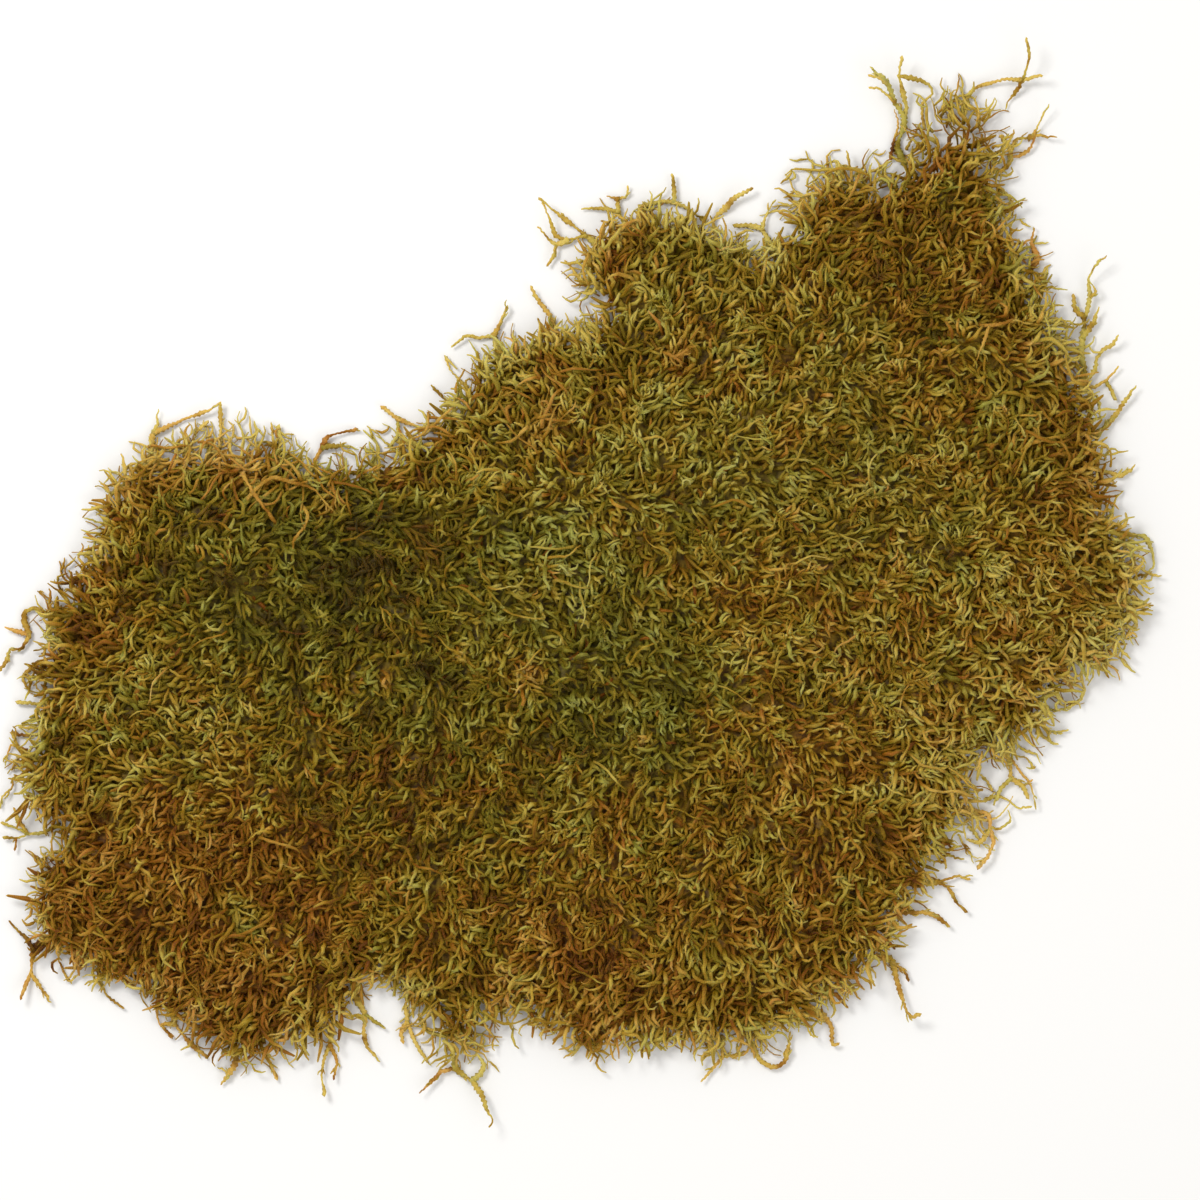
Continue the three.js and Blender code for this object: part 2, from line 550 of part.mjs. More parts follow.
/** Cuts a patch's outline between its neighbours, with edges that wander like a real parting. */
function patchOutline(corners) {
  const named = corners.split(' ').map((name) => place(CORNERS[name]));
  const points = named.flatMap((start, i) => {
    const end = named[(i + 1) % named.length];
    const pieces = Math.max(1, Math.round(start.distanceTo(end) / SEAM_STEP));
    return Array.from({ length: pieces }, (_, k) => start.clone().lerp(end, k / pieces));
  });
  const wandering = points.map(({ x, y }) => new THREE.Vector2(
    x + SEAM_WANDER * Math.sin(y / 7.5 + 1),
    y + SEAM_WANDER * Math.sin(x / 8.5),
  ));
  return offsetOutline(wandering, -GAP / 1.5);
}

/** Tells whether a point is inside an outline. */
function isInside(outline, { x, y }) {
  return outline.reduce((inside, start, i) => {
    const end = outline[(i + 1) % outline.length];
    const crosses = (start.y > y) !== (end.y > y);
    const left = x < start.x + ((end.x - start.x) * (y - start.y)) / (end.y - start.y);
    return crosses && left ? !inside : inside;
  }, false);
}

/** Walks along the rim and calls back at even stations with a point and the way out. */
function alongRim(spacing, visit) {
  let ahead = spacing / 2;
  rim.forEach((start, i) => {
    const edge = rim[(i + 1) % rim.length].clone().sub(start);
    const out = new THREE.Vector2(-edge.y, edge.x).normalize();
    for (; ahead < edge.length(); ahead += spacing) {
      visit(start.clone().addScaledVector(edge, ahead / edge.length()), out);
    }
    ahead -= edge.length();
  });
}

const sprayPaths = SPRAYS.flatMap(({ strands }) => strands.map((strand) => strand.map(place)));

/** Gives the distance from a point to the nearest of several paths. */
function distanceToPaths(point, paths) {
  let least = Infinity;
  for (const path of paths) {
    for (let i = 0; i + 1 < path.length; i += 1) {
      const edge = path[i + 1].clone().sub(path[i]);
      const t = THREE.MathUtils.clamp(point.clone().sub(path[i]).dot(edge) / edge.lengthSq(), 0, 1);
      const foot = path[i].clone().addScaledVector(edge, t);
      least = Math.min(least, foot.distanceTo(point));
    }
  }
  return least;
}

/** Tells whether a straight stem keeps a distance from every spray, in plan. */
function isClearOfSprays(from, to, distance) {
  const stations = [0, 0.2, 0.4, 0.6, 0.8, 1].map((t) => from.clone().lerp(to, t));
  return stations.every((station) => distanceToPaths(station, sprayPaths) > distance);
}

/** Makes the felt of old stems: a slab with a hollowed underside and stems past its rim. */
function feltOfOldStems() {
  const box = new THREE.Box2().setFromPoints(rim).expandByScalar(4);
  const size = box.getSize(new THREE.Vector2());
  const middle = box.getCenter(new THREE.Vector2());
  const columns = Math.round(size.x / HOLLOW_SIZE);
  const rows = Math.round(size.y / HOLLOW_SIZE);
  const slab = new THREE.BoxGeometry(size.x, size.y, FELT_THICKNESS, columns, rows, 1);
  slab.translate(middle.x, middle.y, FELT_THICKNESS / 2);
  const position = slab.attributes.position;
  for (let i = 0; i < position.count; i += 1) {
    if (position.getZ(i) > FELT_THICKNESS / 2) {
      continue;
    }
    const point = new THREE.Vector2(position.getX(i), position.getY(i));
    const hollow = Math.max(0, swell(1.7 * point.x + 40, 1.7 * point.y));
    const clear = THREE.MathUtils.smoothstep(point.length(), RESTING_SPOT_RADIUS, RESTING_SPOT_RADIUS + 15);
    position.setZ(i, FELT_HOLLOWS * hollow * clear);
  }
  const random = seededRandom(11);
  const slack = () => random() - 0.5;
  let felt = solidOf(slab).intersect(prism(rim, -1, FELT_THICKNESS + 1));
  alongRim(OLD_STEM_SPACING, (station, out) => {
    const heading = Math.atan2(out.y, out.x) + 1.3 * slack();
    const reach = OLD_STEM_REACH * (0.55 + 0.9 * random());
    const forward = new THREE.Vector2(Math.cos(heading), Math.sin(heading));
    const bend = 2.5 * slack();
    const tip = station.clone().addScaledVector(forward, reach);
    const root = station.clone().addScaledVector(forward, -4);
    if (nearestRim(tip).distance > -2 || !isClearOfSprays(root, tip, STEM_CLEARANCE)) {
      return;
    }
    const mid = station.clone().addScaledVector(forward, reach * 0.45);
    mid.add(new THREE.Vector2(-forward.y, forward.x).multiplyScalar(bend));
    felt = felt.add(tubeAlong([
      new THREE.Vector3(root.x, root.y, 2.3),
      new THREE.Vector3(mid.x, mid.y, 1.6 + random()),
      new THREE.Vector3(tip.x, tip.y, 0.9 + 1.6 * random()),
    ], tapered(OLD_STEM_RADIUS, 0.15)));
  });
  return felt;
}

/** Gives a runner's strand: it lies on the shoots, and its free ends sink in between them. */
function runnerPath(strand, others) {
  return strand.map((pixel, i) => {
    const isEnd = i === 0 || i === strand.length - 1;
    const isJoint = others.some((other) => other.some((p) => p[0] === pixel[0] && p[1] === pixel[1]));
    const lift = isEnd && !isJoint ? -RUNNER_END_DEPTH : RUNNER_LIFT;
    const point = place(pixel);
    return new THREE.Vector3(point.x, point.y, coreTop(point.x, point.y) + lift);
  });
}

/** Fuses a runner's strands, thickened by a clearance where the pile is cut to seat it. */
function runnerSolid({ radius, strands }, clearance) {
  const tubes = strands.map((strand) => {
    const path = runnerPath(strand, strands.filter((other) => other !== strand));
    const ease = clearance > 0 ? clearance + 0.15 : 0;
    return tubeAlong(path, (t) => radius * (1 - 0.35 * t) + ease, { sides: 4 });
  });
  return tubes.reduce((a, b) => a.add(b));
}

/** Makes one patch of the pile: its matted core, the shoots combed over it and its fringe. */
function pilePatch({ comb, corners }, seed, seats) {
  const outline = patchOutline(corners);
  const random = seededRandom(seed);
  const slack = () => random() - 0.5;
  const combing = THREE.MathUtils.degToRad(comb);
  const origin = new THREE.Vector2();
  let pile = mattedCore(outline, combing, random).intersect(prism(offsetOutline(rim, -PILE_SETBACK), 0, BOX_TOP));

  const grow = (path, halfWidth) => {
    const flat = path.map(({ x, y }) => new THREE.Vector2(x, y));
    const sides = flat.slice(1).flatMap((point, i) => {
      const across = point.clone().sub(flat[i]).normalize().rotateAround(origin, Math.PI / 2);
      return [-0.5, 0.5].map((k) => point.clone().addScaledVector(across, k * halfWidth));
    });
    const fits = sides.every((point) => isInside(outline, point));
    if (fits) {
      pile = pile.add(tubeAlong(path, plump(halfWidth), { flatness: SHOOT_FLATNESS }));
    }
    return fits;
  };

  const turned = outline.map((point) => point.clone().rotateAround(origin, -combing));
  const box = new THREE.Box2().setFromPoints(turned);
  let row = 0;
  for (let v = box.min.y; v < box.max.y; v += SHOOT_PITCH_ACROSS) {
    row += 1;
    const stagger = row % 2 === 0 ? 0 : SHOOT_PITCH_ALONG / 2;
    for (let u = box.min.x - stagger; u < box.max.x; u += SHOOT_PITCH_ALONG) {
      const spot = new THREE.Vector2(u + 4 * slack(), v + 2.5 * slack());
      spot.rotateAround(origin, combing);
      const length = SHOOT_LENGTH * (0.85 + 0.3 * random());
      const curl = (row % 4 < 2 ? 1 : -1) * (1.5 + 2.5 * random());
      const rise = SHOOT_RISE * (0.85 + 0.3 * random());
      const inland = nearestRim(spot).distance > FRINGE_WIDTH;
      if (inland && isInside(outline, spot)) {
        const root = new THREE.Vector3(spot.x, spot.y, coreTop(spot.x, spot.y) - SHOOT_ROOT);
        const heading = combing + 0.45 * swell(1.4 * spot.x, 1.4 * spot.y) + 0.3 * slack();
        SHOOT_TURNS.some((aside) => grow(
          shootPath(root, heading + aside, rise, length, curl),
          SHOOT_HALF_WIDTH,
        ));
      }
    }
  }
  alongRim(FRINGE_SPACING, (station, out) => {
    const heading = Math.atan2(out.y, out.x) + 0.9 * slack();
    const reach = FRINGE_REACH * (0.4 + 0.9 * random());
    const curl = 4 * slack();
    const height = FELT_THICKNESS + 1.6 + 2 * random();
    const forward = new THREE.Vector2(Math.cos(heading), Math.sin(heading));
    const root = station.clone().addScaledVector(forward, -0.8 * FRINGE_WIDTH);
    const elbow = station.clone().addScaledVector(forward, 5);
    const tip = station.clone().addScaledVector(forward, reach);
    if (isInside(outline, station) && isClearOfSprays(elbow, tip, STEM_CLEARANCE)) {
      const start = new THREE.Vector3(root.x, root.y, height);
      const length = 0.8 * FRINGE_WIDTH + reach;
      const rise = 1.5 * slack() + 0.6;
      FRINGE_TURNS.some((aside) => grow(
        shootPath(start, heading + aside, rise, length, curl),
        0.75 * SHOOT_HALF_WIDTH,
      ));
    }
  });
  const cell = prism(outline, FELT_THICKNESS + GAP, BOX_TOP);
  return seats.reduce((solid, seat) => solid.subtract(seat), pile.intersect(cell));
}

/** Places a point of a spray. Its root is pushed in from the rim until it reaches its seat. */
function placeOnSpray(pixel, strands) {
  const point = place(pixel);
  const [root] = strands[0];
  if (pixel[0] === root[0] && pixel[1] === root[1]) {
    const { distance, out } = nearestRim(point);
    point.addScaledVector(out, Math.min(0, distance - SPRAY_ROOT_DEPTH));
  }
  return point;
}

/** Makes one spray: its strands at their lift above the table, with small leaves on both sides. */
function spraySolid({ lift, leafy = false, strands }, seed, feltSeat) {
  const random = seededRandom(seed);
  let spray = null;
  strands.forEach((strand, k) => {
    const path = strand.map((pixel) => {
      const point = placeOnSpray(pixel, strands);
      const outside = Math.max(0, -nearestRim(point).distance);
      const rise = lift * THREE.MathUtils.smoothstep(outside, SPRAY_LIFT_START, SPRAY_LIFT_END);
      return new THREE.Vector3(point.x, point.y, SPRAY_HEIGHT + rise);
    });
    const radius = SPRAY_STEM_RADIUS * (k === 0 ? 1 : 0.8);
    const stem = tubeAlong(path, tapered(radius, 0.35 * radius));
    spray = spray === null ? stem : spray.add(stem);
    path.slice(1, -1).forEach((base, i) => {
      const along = path[i + 2].clone().sub(path[i]);
      const side = random() < 0.5 ? 1 : -1;
      const heading = Math.atan2(along.y, along.x) + side * (0.7 + 0.3 * random());
      const forward = new THREE.Vector3(Math.cos(heading), Math.sin(heading), 0.15);
      const reach = LEAF_LENGTH * (0.8 + 0.5 * random());
      const isOut = nearestRim(new THREE.Vector2(base.x, base.y)).distance < -2;
      if (isOut && leafy && (i + k) % 2 === 0) {
        const leaf = [base, base.clone().addScaledVector(forward, reach)];
        spray = spray.add(tubeAlong(leaf, tapered(LEAF_RADIUS, 0)));
      }
    });
  });
  return spray.subtract(feltSeat);
}

/** Names a solid's mesh and gives it a dry, matt surface. */
function piece(name, solid, colour) {
  const material = new THREE.MeshStandardMaterial({
    color: colour,
    roughness: 0.95,
    metalness: 0,
    flatShading: true,
  });
  const mesh = new THREE.Mesh(geometryOf(solid), material);
  mesh.name = name;
  return mesh;
}

const sheetMoss = new THREE.Group();
sheetMoss.add(piece('felt_of_old_stems', feltOfOldStems(), 0x4a3416));

const seats = RUNNERS.map((runner) => runnerSolid(runner, GAP));
PILES.forEach((patch, i) => {
  sheetMoss.add(piece(patch.name, pilePatch(patch, 101 + i, seats), patch.colour));
});
RUNNERS.forEach((runner) => {
  sheetMoss.add(piece(runner.name, runnerSolid(runner, 0), runner.colour));
});
const feltSeat = prism(offsetOutline(rim, GAP), -BOX_TOP, BOX_TOP);
SPRAYS.forEach((spray, i) => {
  sheetMoss.add(piece(spray.name, spraySolid(spray, 501 + i, feltSeat), 0x8a7334));
});

export default sheetMoss;
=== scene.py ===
"""Dresses the sheet moss: thousands of curved leafy shoots, a felt of old stems and loose sprays.

Sizes and positions are worked out in millimetres, and go onto the meshes in metres. Points are
arrays whose last axis holds X, Y and perhaps Z, and what depends on the place reads X and Y only.
A tint is hue, paleness and shade: hue runs from 0, rust, over gold and olive to 1, deep green.
"""

from __future__ import annotations

import logging
import math
from dataclasses import dataclass, field, fields, replace
from enum import Enum

import bpy
import numpy as np
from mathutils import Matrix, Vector
from mathutils.bvhtree import BVHTree


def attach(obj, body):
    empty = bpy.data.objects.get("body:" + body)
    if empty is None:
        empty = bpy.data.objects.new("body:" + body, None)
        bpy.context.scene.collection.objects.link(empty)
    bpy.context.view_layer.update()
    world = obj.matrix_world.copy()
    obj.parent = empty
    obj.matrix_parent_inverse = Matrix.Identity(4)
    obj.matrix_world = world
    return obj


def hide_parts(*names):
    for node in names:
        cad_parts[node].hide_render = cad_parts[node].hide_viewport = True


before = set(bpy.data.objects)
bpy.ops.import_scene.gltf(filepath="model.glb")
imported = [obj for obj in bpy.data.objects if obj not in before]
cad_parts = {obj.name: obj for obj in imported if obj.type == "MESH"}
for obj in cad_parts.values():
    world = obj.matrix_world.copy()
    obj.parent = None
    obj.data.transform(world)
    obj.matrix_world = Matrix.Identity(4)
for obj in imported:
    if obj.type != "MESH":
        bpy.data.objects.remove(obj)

Array = np.ndarray
Random = np.random.Generator
Socket = bpy.types.NodeSocket
Pair = tuple[float, float]  # a range that random numbers are drawn from, or as its comment says
Triple = tuple[float, float, float]
Colour = tuple[float, float, float, float]  # linear red, green and blue, and alpha

LOG = logging.getLogger("sheet_moss")
METRES = 0.001  # one millimetre
BODY = "root"
TINT = "moss_tint"  # mesh attribute that holds the tint
LEAVES = "moss_leaves"  # attribute: the way round a shoot, leaves along it, and 1 on the bed
LEAF_STEP = 0.8  # from one small leaf to the next along a shoot
BAKE_MAP = "OFBake"

TABLE_GAP = 0.05  # nothing comes nearer to the table than this
LOWEST = 0.75  # strands keep their middle this high above the table
PHOTO_PIXELS = 1200
MM_PER_PIXEL = 0.4
BOX_MIDDLE_PIXEL = (580.4, 583.0)  # the middle of the sheet's box, on the Z axis

# The felt's rim in the photograph's pixels, clockwise from the left end of the top
RIM_PIXELS = """
122,482 140,462 185,450 232,454 280,454 314,482 345,466 395,458 430,428 458,396 498,356 540,341
584,338 604,318 588,290 586,262 602,236 645,217 690,224 728,245 762,262 790,243 802,208 840,174
880,183 906,163 925,134 962,112 992,118 1000,150 998,188 1003,228 1028,264 1048,308 1060,340
1080,376 1092,412 1098,460 1104,506 1124,548 1136,586 1130,624 1106,654 1074,674 1046,702
1036,728 1000,746 972,776 956,820 930,868 898,906 882,948 850,984 800,1018 745,1040 690,1040
640,1035 590,1038 545,1020 500,1016 472,1030 452,1050 432,1012 410,986 385,974 357,992 335,1030
300,1035 262,1052 228,1050 195,1022 160,990 120,974 85,956 52,944 42,905 42,872 60,846 66,822
42,812 28,800 30,765 36,730 48,702 42,676 50,645 55,612 78,580 104,545 106,508
"""

# Loose sprays: name, lift off the table and strands of pixels. The first strand starts at the
# rim, and each other strand branches off a point of an earlier one.
SPRAYS = """
top_antler 9: 905,166 897,147 902,132 904,118 895,104 886,84 873,74 | 904,118 906,108 902,92
    898,78 901,60 | 886,84 878,80 868,78 | 895,104 878,90 869,90 | 898,78 915,80 928,85 932,94
    923,103 922,114 924,128
crossed_top_right 10: 962,116 965,100 976,88 988,84 1004,80 1022,81 1040,77 | 1022,81 1026,66
    1028,58 1024,41 | 1022,81 1015,93 1007,102
right_shoulder 7: 996,172 1008,166 1010,154 1015,140 1028,138 1035,131 1044,112 | 1028,138
    1040,136 1047,138 | 1035,131 1031,147 1021,155 1010,158
right_curly 7: 1030,270 1037,258 1031,243 1034,229
right_bushy 8: 1080,390 1084,372 1081,356 1082,338 1085,318 1089,298 1088,278 1098,261 |
    1082,338 1093,322 1098,308 | 1085,318 1075,310 1073,296 | 1089,298 1095,292 1092,286 |
    1080,390 1094,370 1096,360 1102,350 1111,346 1117,336 | 1080,390 1094,387 1105,381 1112,374
    1118,367 | 1105,381 1110,389 1115,399
right_broken_twig 7: 1092,436 1104,428 1113,418 1122,405 1132,390
right_stub 4: 1098,470 1110,473 1119,476 1130,470
right_loop 4: 1118,540 1131,535 1144,537 1151,549 1153,566 1141,577
right_tail 3: 1044,706 1054,711 1068,707 1080,699 1084,688
bay_upper 5: 1004,748 1010,765 1011,778 1022,786 1027,797 | 1011,778 1001,788 996,799
bay_lower 5: 956,808 970,809 988,815 990,828 993,841 988,855 978,867 | 990,828 980,842 967,839
bay_hook 3: 912,884 938,882 950,890 955,901 966,911 | 938,882 956,876 969,879
bay_thread 4: 896,912 922,912 935,915 949,926
long_tail_bottom_right 7: 876,956 891,960 897,983 905,1008 911,1016 918,1013 | 891,960 905,972
    908,980
bottom_crook 5: 808,1008 820,1012 831,1026 832,1044 838,1043
bottom_hoop 5: 748,1036 752,1046 760,1060 773,1067 784,1062 788,1048 790,1032
bottom_twig 4: 722,1036 722,1056 711,1070 701,1081 | 722,1056 736,1055 746,1051
long_bottom 6: 452,1044 456,1068 472,1081 482,1094 487,1108 493,1118 490,1125 | 472,1081
    480,1074 484,1064 476,1052 | 456,1068 442,1071 434,1079 420,1092
bottom_dangling 5: 410,980 406,1006 408,1022 415,1041 428,1062 | 408,1022 401,1032 403,1042
bottom_wishbone 5: 352,990 365,1014 364,1030 367,1046 376,1056 | 365,1014 374,1020 385,1028
bottom_tassel 4: 334,1022 330,1044 325,1056 322,1074 325,1093 | 330,1044 337,1060 334,1078
bottom_left_foot 3: 234,1044 236,1062 229,1074 221,1084 | 229,1074 222,1068
lower_left_streak 4: 168,992 176,1024 190,1042 207,1057 | 176,1024 162,1024 172,1037
left_fork 5: 48,936 34,950 32,972 40,985 49,998 | 32,972 25,988 22,998 | 34,950 27,938 20,932
    10,921
left_fan 4: 60,824 44,832 29,834 17,838 5,837 | 29,834 20,822 14,808 | 29,834 12,826 3,823 |
    17,838 16,849
left_curls 6: 52,616 42,611 34,608 25,613 25,623 30,635 22,648 11,650 7,661 1,670 | 30,635
    17,631 6,627
left_hook 4: 48,664 41,661 31,668 23,678 28,688
left_needle 3: 54,702 40,704 30,703 18,702
top_left_arch 7: 152,468 152,448 154,434 168,427 185,419 206,412 221,403 | 221,403 221,424
    221,440 | 154,434 158,424 157,415 | 152,448 174,448 193,443 197,432 208,422
top_left_peak 5: 274,462 280,446 279,427 | 280,446 264,442 250,446
pointed_small_lobe 8: 600,246 586,236 568,222 552,210 540,200 | 586,236 568,240 556,236 549,218
    543,204 | 568,240 556,245 547,238 539,228 | 556,245 554,256 547,266
small_lobe_spike 6: 628,232 618,213 603,209 582,209 | 618,213 618,200 627,196 628,187 | 618,200
    607,196
small_lobe_arch 7: 640,224 642,208 659,202 674,203 690,210 704,222 | 674,203 674,190 672,176
gap_arc 6: 716,240 713,225 716,216 724,210 734,199 752,189
gap_twig 4: 774,254 762,230 748,226 734,226 | 762,230 766,216 772,204
upper_middle_needle 6: 560,342 550,316 540,303 531,288
upper_middle_loop 5: 500,362 494,337 480,338 466,336 452,347 | 494,337 500,324 507,308
notch_right_spike 5: 436,430 422,428 398,419 383,407 | 398,419 398,436 390,446
notch_antler 5: 318,476 315,462 322,448 327,438 340,433 356,430 | 322,448 334,446 350,446
"""

# Thin wisps past the rim that are too fine for a solid of their own: strands of pixels
WISPS = """
946,128 950,112 944,106 953,101 964,108 | 998,190 1006,194 1013,204 1012,217 1005,221
590,1030 582,1043 573,1052 562,1046 | 262,1046 269,1060 273,1069 277,1080
1040,722 1046,730 1056,732 1068,730 | 1036,732 1044,737 1051,742 1057,744
938,860 946,855 955,857 963,859 | 884,925 892,933 900,941 908,945
52,622 46,600 38,591 48,598 57,606 | 66,598 60,589 58,577 67,574
32,735 20,735 12,731 18,744 31,759 | 28,750 16,746 11,745 9,752 6,759
26,765 18,760 17,759 12,770 | 28,780 20,776 13,778 13,787 3,797 0,806
62,946 59,956 63,970 70,981 80,973 | 98,970 102,983 108,996 124,1008
158,992 157,1011 160,1024 173,1036 | 586,286 577,276 570,266 565,261
468,388 452,372 445,356 450,362 457,369 | 452,404 440,396 432,386 436,390 443,396
402,456 384,441 378,434 371,429 | 1096,440 1104,427 1108,422 1113,418
494,1018 490,1030 490,1043 | 600,1034 594,1052 591,1061 | 470,1034 478,1046 476,1056
1002,750 1012,760 1020,772 1030,784 1034,800 | 984,800 996,796 1008,800 1018,808 1030,806
974,812 984,820 996,818 1006,808 1012,796 | 990,828 1000,828 1010,820 1008,810 | 1022,786 1032,780
1034,768 1026,758 1016,756 | 968,826 976,834 984,846 994,850 | 1014,742 1024,750 1036,754 1040,764
958,834 964,846 972,856 982,858 | 992,790 986,780 978,772 974,762 | 890,160 894,140 898,124 894,110
1000,136 1008,146 1012,158 1004,168 | 940,118 948,104 960,96 972,98 978,108 | 906,150 914,136 920,124
"""

# Bare runner stems on top of the pile: name, radius and strands of pixels
RUNNERS = """
tan_crossed 0.95: 239,466 255,493 271,514 286,535 | 249,500 255,493 264,484 276,478 298,484
    316,490 329,506 343,518
brown_arched 0.7: 298,500 309,514 306,527 296,540 293,560
orange_middle 0.7: 660,352 674,358 684,353 694,344 | 674,358 683,365
rust_right 0.75: 972,325 987,327 1003,324 1018,318 | 987,327 983,340 977,354 973,368
"""

# Patches of colour: pixel and reach, hue, paleness and shade
PATCHES = """
320,550 90 0.98 0 0.57 | 215,535 60 0.74 0 0.58 | 160,730 66 0.62 0.2 0.96
60,660 50 0.36 0.04 0.88 | 200,850 70 0.14 0 0.92 | 100,930 50 0.2 0 0.68 | 240,932 60 0.1 0 0.7
235,440 38 0.02 0.4 1.14 | 380,470 40 0.32 0.1 0.98 | 125,500 30 0.34 0.12 1 | 480,460 50 0.5 0 1
540,390 50 0.46 0.08 0.86 | 530,575 64 0.8 0.12 1.18 | 450,680 80 0.76 0 0.71
625,695 75 0.94 0.04 0.92 | 380,780 70 0.54 0 0.58 | 500,810 60 0.56 0 0.82
440,955 60 0.42 0.02 0.9 | 590,960 55 0.12 0 0.84 | 620,860 60 0.4 0 0.9 | 750,990 50 0.38 0 1.1
850,890 60 0.3 0 0.82 | 802,758 48 0.34 0 1.2 | 760,620 60 0.43 0.08 0.97
900,640 64 0.48 0.1 1.12 | 710,485 65 0.62 0.18 1.05 | 870,500 70 0.66 0.26 1.02
700,320 55 0.54 0.2 0.95 | 600,250 40 0.34 0.06 1 | 820,262 40 0.38 0 0.92
950,170 45 0.4 0.02 0.87 | 990,300 50 0.44 0 0.8 | 1060,465 40 0.32 0.04 0.78
1070,615 55 0.4 0.24 1.2 | 965,730 50 0.4 0.14 1.24 | 905,272 48 0.42 0 0.6
456,510 36 0.68 0 0.5 | 575,752 40 0.68 0 0.67 | 90,562 26 0.24 0 0.72 | 990,455 44 0.6 0.16 1.1
700,752 36 0.42 0 0.94 | 930,385 34 0.42 0.04 0.84 | 390,872 45 0.44 0 0.7
300,985 40 0.26 0.06 1.16 | 160,455 30 0.08 0.3 1.05 | 515,988 26 0.36 0.2 1.5
1062,372 30 0.4 0.1 1.16 | 695,575 40 0.5 0 0.86 | 690,930 30 0.34 0 0.72 | 870,748 26 0.2 0 0.84
750,262 26 0.6 0.5 1.1 | 870,335 40 0.56 0.3 0.96
"""

# Small tufts of a colour of their own, in the same way
ACCENTS = """
528,675 17 0.06 0.75 1.1 | 252,928 14 1 0.4 0.85 | 548,424 16 0.14 0.55 1.2
420,430 14 0.2 0.5 1.15 | 790,438 12 0.06 0.2 1.05 | 678,354 16 0.12 0.35 1.05
460,655 8 0.1 0.5 1.1 | 385,680 9 0.12 0.4 1.1 | 815,645 12 0.1 0.3 1.05 | 240,905 12 0.7 0.5 1.1
100,850 14 0.08 0.1 1.1 | 1080,480 16 0.16 0.3 1 | 640,740 9 0.1 0.6 1.1
330,505 14 0.2 0.45 1.15
"""

# Where the mat is thin and loose, so that the table shows through: pixel and reach, and setback
LACES = """
905,168 30 6 | 865,190 26 4 | 985,150 26 5 | 960,115 38 11 | 1000,170 24 5 | 985,785 32 8
905,150 16 4 | 375,985 18 3 | 150,460 24 5 | 235,452 40 3 | 600,312 9 9 | 590,285 14 4
52,836 15 8 | 432,412 34 4 | 350,458 34 4 | 1094,400 40 4 | 1036,268 30 3 | 505,1008 30 4
490,968 9 6 | 855,988 40 3 | 924,884 40 3 | 1080,682 40 2 | 752,1038 34 2 | 206,446 50 2
450,400 18 3 | 490,1012 30 3 | 770,240 18 4 | 1062,680 18 4 | 345,470 16 3
"""

# Where the fringe is longer or shorter than elsewhere: pixel and reach, and factor
SHAGS = """
170,440 60 1.9 | 280,440 60 1.7 | 400,430 60 1.6 | 30,720 60 1.3 | 40,900 50 1.3 | 230,1050 60 1.4
450,1060 60 1.7 | 980,800 60 1.5 | 1100,640 50 1.2 | 960,110 50 1.6 | 820,165 40 3
560,320 50 1.3 | 640,215 50 1.3 | 800,1030 60 1.1 | 1080,350 60 1.2
"""

# Tangles of long dry stems on the pile: pixel and reach, count, hue and paleness
THATCHES = """
160,452 16 22 0.14 0.5 | 205,448 20 26 0.12 0.5 | 252,456 20 26 0.12 0.5 | 298,470 16 20 0.14 0.5
335,488 12 10 0.14 0.5 | 140,474 12 10 0.2 0.45 | 430,432 24 16 0.24 0.4 | 548,424 18 10 0.12 0.5
828,176 26 26 0.3 0.35 | 560,244 22 14 0.3 0.35 | 1085,440 30 14 0.26 0.4
1010,190 22 10 0.34 0.3 | 60,880 40 14 0.24 0.3 | 760,620 60 12 0.4 0.3 | 250,900 60 18 0.26 0.3
480,620 60 10 0.5 0.35 | 650,800 60 10 0.46 0.3 | 700,400 60 10 0.5 0.4 | 960,780 30 10 0.3 0.4
450,1000 40 12 0.4 0.3
"""

# Which way the shoots lie: pixel, and degrees turned from +X
COMBS = (
    (230, 480, 105), (330, 560, -40), (90, 640, 190), (180, 720, 215), (200, 900, 262),
    (500, 420, 125), (560, 600, -52), (660, 280, 75), (900, 250, 58), (840, 470, 20),
    (1060, 500, -8), (880, 660, -35), (440, 850, 250), (620, 930, 275), (820, 900, -62),
)


def linear(code: int) -> Colour:
    """Turns a screen colour such as 0x8a652a into linear red, green, blue and alpha.

    Args:
        code: The colour as six hexadecimal digits.

    Returns:
        Linear red, green and blue between 0 and 1, and 1 for alpha.
    """
    levels = [((code >> shift) & 255) / 255 for shift in (16, 8, 0)]
    red, green, blue = [
        level / 12.92 if level < 0.0405 else ((level + 0.055) / 1.055) ** 2.4 for level in levels
    ]
    return red, green, blue, 1.0


def place(pixels: Array) -> Array:
    """Turns pixels of the photograph into X and Y.

    Args:
        pixels: Pairs of pixel coordinates.

    Returns:
        Pairs of X and Y.
    """
    middle = np.array(BOX_MIDDLE_PIXEL)
    return (np.asarray(pixels, float) - middle) * (MM_PER_PIXEL, -MM_PER_PIXEL)


def entries(text: str) -> list[str]:
    """Splits a table at its bars and line ends."""
    return text.strip().replace("\n", "|").split("|")


def strand(text: str) -> Array:
    """Reads one strand of pixels, such as "905,166 897,147".

    Args:
        text: Pixel pairs with spaces between them.

    Returns:
        Pairs of X and Y.
    """
    return place([[float(number) for number in pair.split(",")] for pair in text.split()])


def named_strands(text: str) -> dict[str, tuple[float, list[Array]]]:
    """Reads a table of names, a number each, and strands.

    Args:
        text: Lines such as "name 9: 1,2 3,4 | 5,6 7,8", which may run on.

    Returns:
        The number and the strands for each name.
    """
    rows: list[str] = []
    for line in text.strip().splitlines():
        if ":" in line:
            rows.append(line)
        else:
            rows[-1] += " " + line
    table: dict[str, tuple[float, list[Array]]] = {}
    for row in rows:
        head, body = row.split(":")
        name, number = head.split()
        table[name] = (float(number), [strand(part) for part in body.split("|")])
    return table


